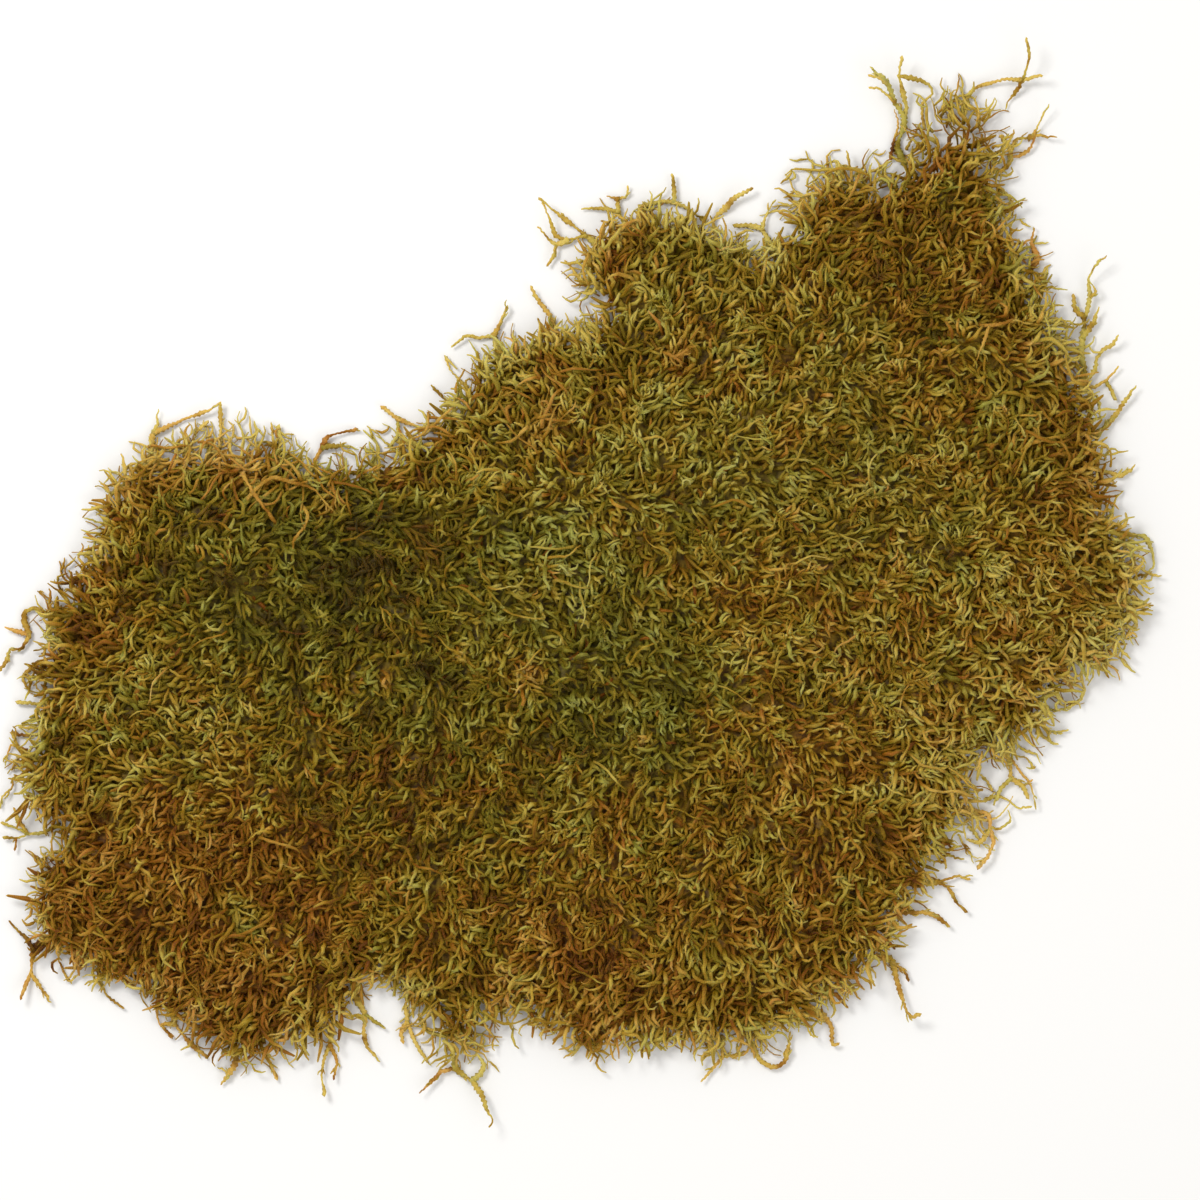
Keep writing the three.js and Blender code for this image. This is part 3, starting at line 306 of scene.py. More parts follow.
def smoothstep(value: Array, low: float, high: float) -> Array:
    """Rises smoothly from 0 at low to 1 at high.

    Args:
        value: Where it is read.
        low: Where it starts to rise.
        high: Where it ends.

    Returns:
        Numbers between 0 and 1.
    """
    part = np.clip((value - low) / (high - low), 0, 1)
    return part * part * (3 - 2 * part)


def way(angle: Array) -> Array:
    """Turns angles into directions of length 1 in plan."""
    return np.stack([np.cos(angle), np.sin(angle)], axis=-1)


def raised(flat: Array, height: Array) -> Array:
    """Puts points in plan at their heights."""
    return np.concatenate([flat, height[..., None]], axis=-1)


def either_side(count: int, rng: Random) -> Array:
    """Draws a side, 1 or -1, for each of some strands."""
    return np.where(rng.random(count) < 0.5, -1.0, 1.0)


class SoftNoise:
    """Smooth noise over the sheet, between -1 and 1, the same on each run."""

    SIDE = 128

    def __init__(self, seed: int, cell: float) -> None:
        """Draws its lattice.

        Args:
            seed: Which noise it is.
            cell: How far it takes to change.
        """
        self.cell = cell
        self.lattice = np.random.default_rng(seed).uniform(-1, 1, (self.SIDE, self.SIDE))

    def at(self, points: Array) -> Array:
        """Reads the noise.

        Args:
            points: Where it is read.

        Returns:
            One number for each point.
        """
        spot = points[..., :2] / self.cell + self.SIDE / 2
        corner = np.floor(spot).astype(int)
        part = spot - corner
        part = part * part * (3 - 2 * part)
        x, y = corner[..., 0] % self.SIDE, corner[..., 1] % self.SIDE
        x1, y1 = (x + 1) % self.SIDE, (y + 1) % self.SIDE
        low = self.lattice[x, y] * (1 - part[..., 0]) + self.lattice[x1, y] * part[..., 0]
        high = self.lattice[x, y1] * (1 - part[..., 0]) + self.lattice[x1, y1] * part[..., 0]
        return low * (1 - part[..., 1]) + high * part[..., 1]


@dataclass
class Spots:
    """Places on the sheet, each with a reach and some values."""

    middles: Array
    reaches: Array
    values: Array

    @staticmethod
    def read(text: str) -> Spots:
        """Reads a table of places.

        Args:
            text: Entries such as "905,168 30 6.0", with a bar or a new line between them.

        Returns:
            The places.
        """
        numbers = np.array([entry.replace(",", " ").split() for entry in entries(text)], float)
        return Spots(place(numbers[:, :2]), numbers[:, 2] * MM_PER_PIXEL, numbers[:, 3:])

    def apart(self, points: Array) -> Array:
        """Gives the squared distance from each point to each place, in plan."""
        return ((points[..., None, :2] - self.middles) ** 2).sum(axis=-1)

    def nearness(self, points: Array) -> Array:
        """Gives each point's nearness to each place: a bell that is 1 at its middle."""
        return np.exp(-self.apart(points) / self.reaches**2)


class Rim:
    """The felt's torn outline."""

    def __init__(self, points: Array) -> None:
        """Keeps the outline and its edges.

        Args:
            points: The corners in order.
        """
        self.points = points
        self.edges = np.roll(points, -1, axis=0) - points
        self.lengths = np.linalg.norm(self.edges, axis=1)
        turned = np.stack([-self.edges[:, 1], self.edges[:, 0]], axis=1)
        self.outward = turned / self.lengths[:, None]

    def depth(self, points: Array) -> Array:
        """Gives how far points lie inside the outline, negative outside it.

        Args:
            points: Where it is read.

        Returns:
            One distance for each point.
        """
        flat = points[..., :2].reshape(-1, 2)
        least = np.full(len(flat), np.inf)
        inside = np.zeros(len(flat), bool)
        for start, edge in zip(self.points, self.edges):
            apart = flat - start
            part = np.clip(apart @ edge / (edge @ edge), 0, 1)
            least = np.minimum(least, np.linalg.norm(apart - part[:, None] * edge, axis=1))
            crosses = (start[1] > flat[:, 1]) != (start[1] + edge[1] > flat[:, 1])
            rise = edge[1] if abs(edge[1]) > 1e-9 else 1e-9
            left = flat[:, 0] < start[0] + edge[0] * (flat[:, 1] - start[1]) / rise
            inside ^= crosses & left
        return np.where(inside, least, -least).reshape(points.shape[:-1])

    def stations(self, spacing: float, rng: Random) -> tuple[Array, Array]:
        """Walks along the outline at uneven steps.

        Args:
            spacing: The mean step.
            rng: Where its random numbers come from.

        Returns:
            Points on the outline, and the way out at each as an angle.
        """
        total = self.lengths.sum()
        count = int(total / spacing)
        run = (np.arange(count) + rng.uniform(-0.5, 0.5, count)) * total / count % total
        ends = np.cumsum(self.lengths)
        edge = np.minimum(np.searchsorted(ends, run), len(ends) - 1)
        part = (run - (ends - self.lengths)[edge]) / self.lengths[edge]
        points = self.points[edge] + part[:, None] * self.edges[edge]
        out = self.outward[edge]
        return points, np.arctan2(out[:, 1], out[:, 0])


@dataclass
class Lie:
    """How the sheet lies: its felt and its pile's height, as in the solids."""

    rim: Rim
    felt: float = 4.0
    depth: float = 6.6
    rim_depth: float = 3.0
    swell: float = 2.2
    rim_swell: float = 0.35  # how much of the swell is left at the rim
    slope: float = 34.0
    bed_rise: float = 0.6
    tuft_height: float = 1.7
    tufting: SoftNoise = field(default_factory=lambda: SoftNoise(5, 8.0))

    def core(self, points: Array) -> Array:
        """Gives the height of the matted core that the shoots grow out of.

        Args:
            points: Where it is read.

        Returns:
            Heights above the table.
        """
        x, y = points[..., 0], points[..., 1]
        broad = np.sin(x / 27 + 1.3 * np.sin(y / 41)) * np.cos(y / 31 - 0.7)
        fine = np.sin(x / 13 - y / 17 + 0.9) * np.sin(y / 11 + x / 23)
        swelling = 0.65 * broad + 0.35 * fine
        inwards = smoothstep(self.rim.depth(points), 0, self.slope)
        rise = self.rim_depth + (self.depth - self.rim_depth) * inwards
        share = self.rim_swell + (1 - self.rim_swell) * inwards
        return self.felt + rise + self.swell * swelling * share

    def bed(self, points: Array) -> Array:
        """Gives the height of the bed of matted shoots, with its small tufts and hollows."""
        return self.core(points) + self.bed_rise + self.tuft_height * self.tufting.at(points)


class Colouring:
    """The colours of the sheet, place by place."""

    FALL = 2.2  # how fast a patch gives way to its neighbours
    HEART = 0.6  # how much of a patch's reach is its own
    WARP = (8, 5)  # how far broad and fine noise shift the patches' borders
    ACCENT_WARP = 2
    # Noise over the patches: seed, cell, and how far it moves hue, paleness and shade
    DRIFTS = (
        (60, 15, (0.07, 0.08, 0.16)),
        (70, 7, (0.15, 0.12, 0.40)),
        (80, 3.2, (0.22, 0.12, 0.44)),
        (90, 1.8, (0.12, 0.08, 0.12)),
    )

    def __init__(self) -> None:
        """Places the patches and draws the noise between them."""
        self.patches = Spots.read(PATCHES)
        self.accents = Spots.read(ACCENTS)
        self.drifts = [
            ([SoftNoise(seed + channel, cell) for channel in range(3)], strength)
            for seed, cell, strength in self.DRIFTS
        ]
        self.broad = (SoftNoise(24, 14), SoftNoise(25, 14))
        self.fine = (SoftNoise(26, 4), SoftNoise(27, 4))

    @staticmethod
    def read(noises: tuple[SoftNoise, ...] | list[SoftNoise], points: Array) -> Array:
        """Reads several noises side by side."""
        return np.stack([noise.at(points) for noise in noises], axis=1)

    def at(self, points: Array) -> Array:
        """Reads the tint.

        Args:
            points: Where it is read.

        Returns:
            Hue, paleness and shade for each point.
        """
        flat = points[:, :2]
        fine = self.read(self.fine, flat)
        warped = flat + self.WARP[0] * self.read(self.broad, flat) + self.WARP[1] * fine
        heart = (self.HEART * self.patches.reaches) ** 2
        weights = 1 / (1 + self.patches.apart(warped) / heart) ** self.FALL
        values = (weights @ self.patches.values) / weights.sum(axis=1, keepdims=True)
        for noises, strength in self.drifts:
            values = values + self.read(noises, flat) * strength
        nearness = self.accents.nearness(flat + self.ACCENT_WARP * fine)
        for own, value in zip(nearness.T, self.accents.values):
            values = values + (value - values) * own[:, None]
        return values


class Combing:
    """Which way the shoots lie, place by place."""

    REACH = 30.0 * math.sqrt(2)

    def __init__(self) -> None:
        """Places the combs and draws the swirls between them."""
        combs = np.array(COMBS, float)
        ways = way(np.radians(combs[:, 2]))
        self.combs = Spots(place(combs[:, :2]), np.array(self.REACH), ways)
        self.swirls = ((1.0, SoftNoise(31, 26)), (1.4, SoftNoise(32, 9)))

    def at(self, points: Array) -> Array:
        """Reads the shoots' heading.

        Args:
            points: Where it is read.

        Returns:
            One angle for each point, in radians.
        """
        combed = self.combs.nearness(points) @ self.combs.values
        turn = sum(strength * swirl.at(points) for strength, swirl in self.swirls)
        return np.arctan2(combed[:, 1], combed[:, 0]) + turn


@dataclass
class Shell:
    """Vertices, faces and colours of one kind of thing, ready to be joined with others."""

    vertices: Array
    quads: Array
    triangles: Array
    tint: Array
    leaves: Array
    quad_map: Array
    triangle_map: Array

    @staticmethod
    def joined(shells: list[Shell]) -> Shell:
        """Puts several shells in one.

        Args:
            shells: The shells to join.

        Returns:
            One shell that holds them all.
        """
        ends = np.cumsum([len(shell.vertices) for shell in shells])
        shifted = []
        for shell, end in zip(shells, ends):
            start = end - len(shell.vertices)
            shifted.append(
                replace(shell, quads=shell.quads + start, triangles=shell.triangles + start)
            )
        return Shell(*(
            np.concatenate([getattr(shell, part.name) for shell in shifted])
            for part in fields(Shell)
        ))

    def to_piece(
        self, name: str, finish: bpy.types.Material, replaced: str | None, slot: str
    ) -> bpy.types.Object:
        """Makes the Blender object and gives it its finish and its place on the frame.

        Args:
            name: The piece's name.
            finish: Its material.
            replaced: The CAD node that it stands for, or None.
            slot: The name of its material slot; not used.

        Returns:
            The new object.
        """
        mesh = bpy.data.meshes.new(name)
        mesh.vertices.add(len(self.vertices))
        mesh.vertices.foreach_set("co", (self.vertices * METRES).astype(np.float32).ravel())
        corners = np.concatenate([self.quads.ravel(), self.triangles.ravel()]).astype(np.int32)
        mesh.loops.add(len(corners))
        mesh.loops.foreach_set("vertex_index", corners)
        quads, triangles = len(self.quads), len(self.triangles)
        starts = np.concatenate([np.arange(quads) * 4, quads * 4 + np.arange(triangles) * 3])
        mesh.polygons.add(quads + triangles)
        mesh.polygons.foreach_set("loop_start", starts.astype(np.int32))
        mesh.polygons.foreach_set("use_smooth", np.ones(quads + triangles, bool))
        mesh.update(calc_edges=True)
        for attribute, values in ((TINT, self.tint), (LEAVES, self.leaves)):
            layer = mesh.attributes.new(attribute, "FLOAT_VECTOR", "POINT")
            layer.data.foreach_set("vector", values.astype(np.float32).ravel())
        bake = mesh.uv_layers.new(name=BAKE_MAP)
        spots = np.concatenate([self.quad_map.reshape(-1, 2), self.triangle_map.reshape(-1, 2)])
        bake.data.foreach_set("uv", spots.astype(np.float32).ravel())
        mesh.materials.append(finish)
        mesh.validate()
        piece = bpy.data.objects.new(name, mesh)
        bpy.context.scene.collection.objects.link(piece)
        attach(piece, BODY)
        if replaced is not None:
            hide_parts(replaced)
        return piece


class Section(Enum):
    """How many sides a shoot or stem has."""

    FINE = 5
    THIN = 3


@dataclass(frozen=True)
class Strands:
    """Closed tubes along many curves at once, with overlapping leaves as small bumps."""

    section: Section = Section.THIN
    plait: float = 0.22  # how far the leaves stand out of the tube, over its half width
    flatness: float = 0.58
    root: float = 0.5  # how far the first point stands before the first ring, over its half width
    tip: float = 1.3  # how far the closing point stands past the last ring, over its half width
    margin: float = 0.08  # of a cell of the bake map, on each side

    def tubes(self, paths: Array, half_widths: Array) -> Array:
        """Works out the vertices of a tube along each path.

        Args:
            paths: Points of each path, shaped (tubes, rings, 3).
            half_widths: Half width at each of them.

        Returns:
            Each tube's vertices: its rings one after the other, its root and its tip.
        """
        tubes, rings, _ = paths.shape
        sides = self.section.value
        along = np.gradient(paths, axis=1)
        along /= np.linalg.norm(along, axis=2, keepdims=True) + 1e-9
        across = np.stack([-along[..., 1], along[..., 0], np.zeros((tubes, rings))], axis=2)
        across += 1e-4 * np.array([1.0, 0.3, 0.0])  # where a path points straight up
        across /= np.linalg.norm(across, axis=2, keepdims=True)
        for ring in range(1, rings):
            turned = (across[:, ring] * across[:, ring - 1]).sum(axis=1) < 0
            across[turned, ring] *= -1
        upright = np.cross(across, along)
        angle = 2 * math.pi * np.arange(sides) / sides + math.pi / 2
        odd = (np.arange(rings)[:, None] + np.arange(sides)) % 2
        radius = half_widths[:, :, None] * (1 + self.plait * np.where(odd, 1, -1))
        offset = across[:, :, None] * (radius * np.cos(angle))[..., None]
        offset += upright[:, :, None] * (radius * np.sin(angle) * self.flatness)[..., None]
        body = (paths[:, :, None] + offset).reshape(tubes, rings * sides, 3)
        ends = np.stack([
            paths[:, 0] - along[:, 0] * half_widths[:, :1] * self.root,
            paths[:, -1] + along[:, -1] * half_widths[:, -1:] * self.tip,
        ], axis=1)
        vertices = np.concatenate([body, ends], axis=1)
        vertices[..., 2] = np.maximum(vertices[..., 2], TABLE_GAP)
        return vertices

    def leaf_run(self, paths: Array, first: int) -> Array:
        """Works out where each vertex of each tube lies among its leaves.

        Args:
            paths: Points of each path.
            first: The first tube's number in its piece.

        Returns:
            The way round the tube, the count of leaves up to there, and 0.
        """
        tubes, rings, _ = paths.shape
        sides = self.section.value
        start = first + np.arange(tubes)[:, None] * 0.37
        step = np.linalg.norm(np.diff(paths, axis=1), axis=2) / LEAF_STEP
        run = np.cumsum(np.concatenate([start, step], axis=1), axis=1)
        leaves = np.zeros((tubes, rings * sides + 2, 3))
        leaves[:, :-2, 0] = np.tile(1 - np.abs(1 - 2 * np.arange(sides) / sides), rings)
        leaves[:, :-2, 1] = np.repeat(run, sides, axis=1)
        leaves[:, -2, 1] = run[:, 0]
        leaves[:, -1, 1] = run[:, -1] + 0.5
        return leaves

    def sweep(
        self,
        paths: Array,
        half_widths: Array,
        tint: Array,
        first: int,
        cells: int,
    ) -> Shell:
        """Makes one tube along each path, closed at both ends.

        Args:
            paths: Points of each path, shaped (tubes, rings, 3).
            half_widths: Half width at each of them, shaped (tubes, rings).
            tint: The tint at each of them, shaped (tubes, rings, 3).
            first: The first tube's cell in the bake map.
            cells: How many cells the whole piece's bake map has.

        Returns:
            The tubes as one shell.
        """
        tubes, rings, _ = paths.shape
        sides = self.section.value
        per_tube = rings * sides + 2
        ring, side = np.meshgrid(np.arange(rings - 1), np.arange(sides), indexing="ij")
        beside = (side + 1) % sides
        quad = np.stack([
            ring * sides + side, ring * sides + beside,
            (ring + 1) * sides + beside, (ring + 1) * sides + side,
        ], axis=-1).reshape(-1, 4)
        one, two = np.arange(sides), (np.arange(sides) + 1) % sides
        last = (rings - 1) * sides
        triangle = np.concatenate([
            np.stack([two, one, np.full(sides, rings * sides)], axis=1),
            np.stack([last + one, last + two, np.full(sides, rings * sides + 1)], axis=1),
        ])
        starts = np.arange(tubes)[:, None, None] * per_tube
        ends = np.stack([tint[:, 0], tint[:, -1]], axis=1)
        quad_spot = np.stack([
            np.stack([side, side + 1, side + 1, side], axis=-1) / sides,
            np.stack([ring + 1, ring + 1, ring + 2, ring + 2], axis=-1) / (rings + 1),
        ], axis=-1).reshape(-1, 4, 2)
        low = np.stack([one + 1, one, one + 0.5], axis=1) / sides
        high = np.stack([one, one + 1, one + 0.5], axis=1) / sides
        low_run = np.tile([1.0, 1.0, 0.0], (sides, 1)) / (rings + 1)
        high_run = np.tile([rings, rings, rings + 1.0], (sides, 1)) / (rings + 1)
        triangle_spot = np.concatenate([
            np.stack([low, low_run], axis=-1), np.stack([high, high_run], axis=-1),
        ])
        grid = math.ceil(math.sqrt(cells))
        cell = first + np.arange(tubes)
        corner = np.stack([cell % grid, cell // grid], axis=1)[:, None, None, :] + self.margin
        share = 1 - 2 * self.margin
        return Shell(
            self.tubes(paths, half_widths).reshape(-1, 3),
            (quad[None] + starts).reshape(-1, 4),
            (triangle[None] + starts).reshape(-1, 3),
            np.concatenate([np.repeat(tint, sides, axis=1), ends], axis=1).reshape(-1, 3),
            self.leaf_run(paths, first).reshape(-1, 3),
            ((corner + share * quad_spot[None]) / grid).reshape(-1, 4, 2),
            ((corner + share * triangle_spot[None]) / grid).reshape(-1, 3, 2),
        )


@dataclass
class Growth:
    """Many strands of one kind before they are made solid."""

    paths: Array
    half_widths: Array
    tint: Array
    form: Strands = Strands()

    def picked(self, chosen: Array) -> Growth:
        """Keeps some of the strands."""
        return Growth(self.paths[chosen], self.half_widths[chosen], self.tint[chosen], self.form)

    @staticmethod
    def to_shell(growths: list[Growth]) -> Shell:
        """Makes strands of several kinds solid, kept off the table and sorted by colour.

        Args:
            growths: The strands.

        Returns:
            One shell.
        """
        cells = sum(len(growth.paths) for growth in growths)
        shells = []
        first = 0
        for growth in growths:
            sorted_growth = growth.picked(np.argsort(growth.tint[:, 0, 0]))
            paths = sorted_growth.paths
            paths[..., 2] = np.maximum(paths[..., 2], LOWEST)
            tint = np.clip(sorted_growth.tint, 0, 1)
            shells.append(growth.form.sweep(paths, sorted_growth.half_widths, tint, first, cells))
            first += len(paths)
        return Shell.joined(shells)


def integrated(starts: Array, directions: Array, lengths: Array) -> Array:
    """Follows directions from a start, step by step.

    Args:
        starts: Where each path starts.
        directions: The direction at each ring, shaped (paths, rings, 2 or 3).
        lengths: The length of each path.

    Returns:
        The points of each path.
    """
    step = directions * (lengths / (directions.shape[1] - 1))[:, None, None]
    moved = np.cumsum(0.5 * (step[:, 1:] + step[:, :-1]), axis=1)
    return starts[:, None] + np.concatenate([np.zeros_like(moved[:, :1]), moved], axis=1)


@dataclass(frozen=True)
class ShootForm:
    """Sizes of one kind of leafy shoot, in millimetres and radians."""

    rings: int = 5
    length: Pair = (6.0, 10.5)
    half_width: Pair = (0.54, 1.0)
    climb: Pair = (0.4, 1.1)  # how steeply it leaves its root
    droop: Pair = (0.4, 1.2)  # how far its tip points down again
    hook: Pair = (0.2, 2.1)  # how far it curls sideways
    snake: float = 0.24  # how far it bends to and fro
    root_width: float = 0.62  # over its full width
    taper: float = 0.52  # how much of its width it loses at its tip

    def curves(
        self,
        roots: Array,
        headings: Array,
        rng: Random,
        scale: Array | float = 1.0,
        side: Array | None = None,
    ) -> tuple[Array, Array, Array]:
        """Works out the curve of each shoot: it climbs, arches over and hooks to one side.

        Args:
            roots: Where the shoots start.
            headings: Which way they lean.
            rng: Where its random numbers come from.
            scale: What their lengths are multiplied by.
            side: The side that each hooks to, 1 or -1, or None for either.

        Returns:
            The points of each curve, the half widths there, and how far along they are.
        """
        count = len(roots)
        part = np.linspace(0, 1, self.rings)[None]
        length = rng.uniform(*self.length, count) * scale
        if side is None:
            side = either_side(count, rng)
        curl = self.hook[0] + (self.hook[1] - self.hook[0]) * rng.random(count) ** 1.5
        hook = (curl * side)[:, None]
        heading = headings[:, None] - 0.3 * hook + hook * part**1.5
        phase = rng.uniform(0, 2 * math.pi, (count, 1))
        heading = heading + self.snake * np.sin(2 * math.pi * part + phase)
        pitch = rng.uniform(*self.climb, count)[:, None]
        pitch = pitch - (pitch + rng.uniform(*self.droop, count)[:, None]) * part**1.2
        along = raised(np.cos(pitch)[..., None] * way(heading), np.sin(pitch))
        width = rng.uniform(*self.half_width, count)[:, None]
        profile = self.root_width + (1 - self.root_width) * smoothstep(part, 0.0, 0.45)
        profile = profile * (1 - self.taper * smoothstep(part, 0.5, 1.0))
        part = np.broadcast_to(part, (count, self.rings))
        return integrated(roots, along, length), width * profile, part


@dataclass(frozen=True)
class StemForm:
    """Sizes of one kind of thin stem that wanders, in millimetres and radians."""

    rings: int = 8
    length: Pair = (12.0, 22.0)
    half_width: Pair = (0.35, 0.55)
    bend: float = 0.6  # how far it turns over its length
    wobble: float = 0.25  # how far it snakes
    taper: float = 0.4  # how much of its width it loses

    def wander(
        self,
        starts: Array,
        headings: Array,
        rng: Random,
        scale: Array | float = 1.0,
    ) -> Wandering:
        """Lets stems wander over the sheet in plan.

        Args:
            starts: Where they start.
            headings: Which way they set out.
            rng: Where its random numbers come from.
            scale: What their lengths are multiplied by.

        Returns:
            The stems.
        """
        count = len(starts)
        part = np.linspace(0, 1, self.rings)[None]
        bend = rng.normal(0, self.bend, (count, 1))
        waves = rng.uniform(0.6, 1.5, (count, 1))
        phase = rng.uniform(0, 2 * math.pi, (count, 1))
        snake = self.wobble * np.sin(2 * math.pi * waves * part + phase)
        heading = headings[:, None] + bend * (part - 0.25) + snake
        width = rng.uniform(*self.half_width, count)[:, None] * (1 - self.taper * part)
        width = width * rng.uniform(0.75, 1.25, (count, self.rings))
        lengths = rng.uniform(*self.length, count) * scale
        run = np.broadcast_to(part, (count, self.rings))
        return Wandering(integrated(starts, way(heading), lengths), heading, width, run)


@dataclass
class Wandering:
    """Stems in plan: their points, and their heading, half width and run, 0 to 1, at each."""

    flat: Array
    heading: Array
    widths: Array
    run: Array

    def kept(self, keep: Array) -> Wandering:
        """Keeps some of the stems."""
        return Wandering(*(getattr(self, part.name)[keep] for part in fields(self)))

    def arch(self, height: float, sunk: float) -> Array:
        """Gives the rise of stems that arch over the pile and have both ends sunk into it."""
        return height * np.sin(math.pi * (0.06 + 0.88 * self.run)) ** 0.6 - sunk


class Ramp(Enum):
    """The colours of the leaves, from rust over gold and olive to deep green."""

    RUST = (0.0, 0xA2681C)
    BRONZE = (0.18, 0xA6741C)
    GOLD = (0.36, 0xAA8622)
    OLIVE = (0.56, 0x9C8A28)
    GREEN = (0.78, 0x888328)
    DEEP = (1.0, 0x747624)


class Graph:
    """A material and its nodes."""

    def __init__(self, name: str) -> None:
        """Starts the material.

        Args:
            name: Its name.
        """
        self.material = bpy.data.materials.new(name)
        self.material.use_nodes = True
        self.tree = self.material.node_tree
        self.shader = self.tree.nodes["Principled BSDF"]
        self.spot = self.add("TexCoord", {}).outputs["Object"]

    def set(self, node: bpy.types.Node, inputs: dict[str | int, object]) -> bpy.types.Node:
        """Sets a node's inputs.

        Args:
            node: The node.
            inputs: What goes into each input: another node's socket or a constant.

        Returns:
            The node.
        """
        for key, value in inputs.items():
            if isinstance(value, Socket):
                self.tree.links.new(value, node.inputs[key])
            else:
                node.inputs[key].default_value = value
        return node

    def add(self, kind: str, inputs: dict[str | int, object], **settings: object) -> bpy.types.Node:
        """Adds a node.

        Args:
            kind: The end of its type's name.
            inputs: What goes into its inputs.
            settings: Its settings.

        Returns:
            The node.
        """
        node = self.tree.nodes.new("ShaderNode" + kind)
        for key, value in settings.items():
            setattr(node, key, value)
        return self.set(node, inputs)

    def attribute(self, name: str) -> tuple[Socket, ...]:
        """Adds a mesh attribute, split in three."""
        vector = self.add("Attribute", {}, attribute_name=name).outputs["Vector"]
        return tuple(self.add("SeparateXYZ", {0: vector}).outputs)

    def noise(self, scale: float, detail: float) -> Socket:
        """Adds noise in object space, of so many cells to a metre and so many finer octaves."""
        inputs = {"Vector": self.spot, "Scale": scale, "Detail": detail}
        return self.add("TexNoise", inputs).outputs["Fac"]

    def math(self, operation: str, *values: Socket | float) -> Socket:
        """Adds one step of arithmetic."""
        return self.add("Math", dict(enumerate(values)), operation=operation).outputs[0]

    def plus(self, base: Socket, extra: Socket, factor: float, middle: float = 0.0) -> Socket:
        """Adds base + factor x (extra - middle), kept between 0 and 1."""
        scaled = self.math("MULTIPLY_ADD", extra, factor, -middle * factor)
        return self.add("Math", {0: base, 1: scaled}, use_clamp=True).outputs[0]

    def mix(self, blend: str, amount: Socket | float, first: Socket, second: Socket) -> Socket:
        """Adds a mix of two colours, with so much of the second."""
        inputs = {"Factor": amount, "A": first, "B": second}
        return self.add("Mix", inputs, data_type="RGBA", blend_type=blend).outputs["Result"]

    def ramp(self, value: Socket, stops: list[tuple[float, tuple[float, ...]]]) -> Socket:
        """Adds a ramp of colours.

        Args:
            value: Where it is read.
            stops: Positions from 0 to 1 and their colours.

        Returns:
            The socket with the colour.
        """
        node = self.add("ValToRGB", {0: value})
        elements = node.color_ramp.elements
        elements[0].color, elements[1].color = stops[0][1], stops[-1][1]
        for at, colour in stops[1:-1]:
            elements.new(at).color = colour
        return node.outputs[0]


@dataclass(frozen=True)
class MossFinish:
    """Dry moss: leaf colours from the tint attribute, fine veins, and a matt, papery surface.

    Its shade channel darkens the colour along a ramp of painted light and shade.
    """

    name: str
    pale: tuple[int, int, int] = (0xC8984E, 0xC4AC56, 0xB4AE60)  # for rust, gold and green
    # Colours of the painted shade ramp: in deep shade, and half in shade; full light is white
    depth: Triple = (0.135, 0.075, 0.002)
    middle: Triple = (0.51, 0.41, 0.10)
    roughness: Pair = (0.42, 0.72)
    specular: float = 0.15
    softness: float = 0.5  # how much light passes through the thin leaves
    light_depth: float = 1.6 * METRES
    light_reach: Triple = (1.0, 0.8, 0.3)
    bump: float = 0.4
    bump_height: float = 0.25 * METRES
    leaf_shade: float = 0.18
    leaf_slant: float = 1.1  # leaves, over half the way round a shoot
    grit: float = 1.4  # how uneven the matted bed is
    speckle: float = 1000.0  # cells to a metre
    hue_grain: float = 0.12  # how far the fine noise moves the hue
    pale_grain: float = 0.3
    shade_grain: float = 0.24

    def make(self) -> bpy.types.Material:
        """Builds the material's nodes.

        Returns:
            The material.
        """
        graph = Graph(self.name)
        hue, pale, shade = graph.attribute(TINT)
        around, along, matted = graph.attribute(LEAVES)
        speckle = graph.noise(self.speckle, 3.0)
        mottle = graph.noise(self.speckle / 5, 2.0)
        fibres = graph.noise(0.55 * self.speckle, 5.0)
        # Small leaves overlap along a shoot like roof tiles: 0 to 1 along each
        leaf = graph.math("FRACT", graph.math("MULTIPLY_ADD", around, self.leaf_slant, along))
        hue = graph.plus(hue, speckle, self.hue_grain, 0.5)
        fresh = graph.ramp(hue, [(stop.value[0], linear(stop.value[1])) for stop in Ramp])
        papery = graph.ramp(hue, list(zip((0.0, 0.4, 1.0), map(linear, self.pale))))
        faded = graph.mix("MIX", graph.plus(pale, mottle, self.pale_grain, 0.5), fresh, papery)
        grit = graph.math("MULTIPLY_ADD", graph.math("SUBTRACT", fibres, 0.5), matted, 0.0)
        shade = graph.plus(shade, speckle, self.shade_grain, 0.5)
        shade = graph.plus(shade, grit, self.grit)
        # Painted shade: each small leaf darker at its base, where the one before it overlaps
        shade = graph.plus(shade, leaf, self.leaf_shade, 0.5)
        light = graph.ramp(shade, [
            (0.0, (*self.depth, 1.0)), (0.45, (*self.middle, 1.0)), (1.0, (1.0, 1.0, 1.0, 1.0)),
        ])
        rough = graph.add("MapRange", {
            "Value": mottle, "To Min": self.roughness[0], "To Max": self.roughness[1],
        })
        relief = graph.plus(leaf, speckle, 0.5)
        bumped = graph.add("Bump", {
            "Strength": self.bump, "Distance": self.bump_height, "Height": relief,
        })
        graph.set(graph.shader, {
            "Base Color": graph.mix("MULTIPLY", 1.0, faded, light),
            "Roughness": rough.outputs[0],
            "Normal": bumped.outputs[0],
            "Specular IOR Level": self.specular,
            "Subsurface Weight": self.softness,
            "Subsurface Scale": self.light_depth,
            "Subsurface Radius": self.light_reach,
        })
        return graph.material


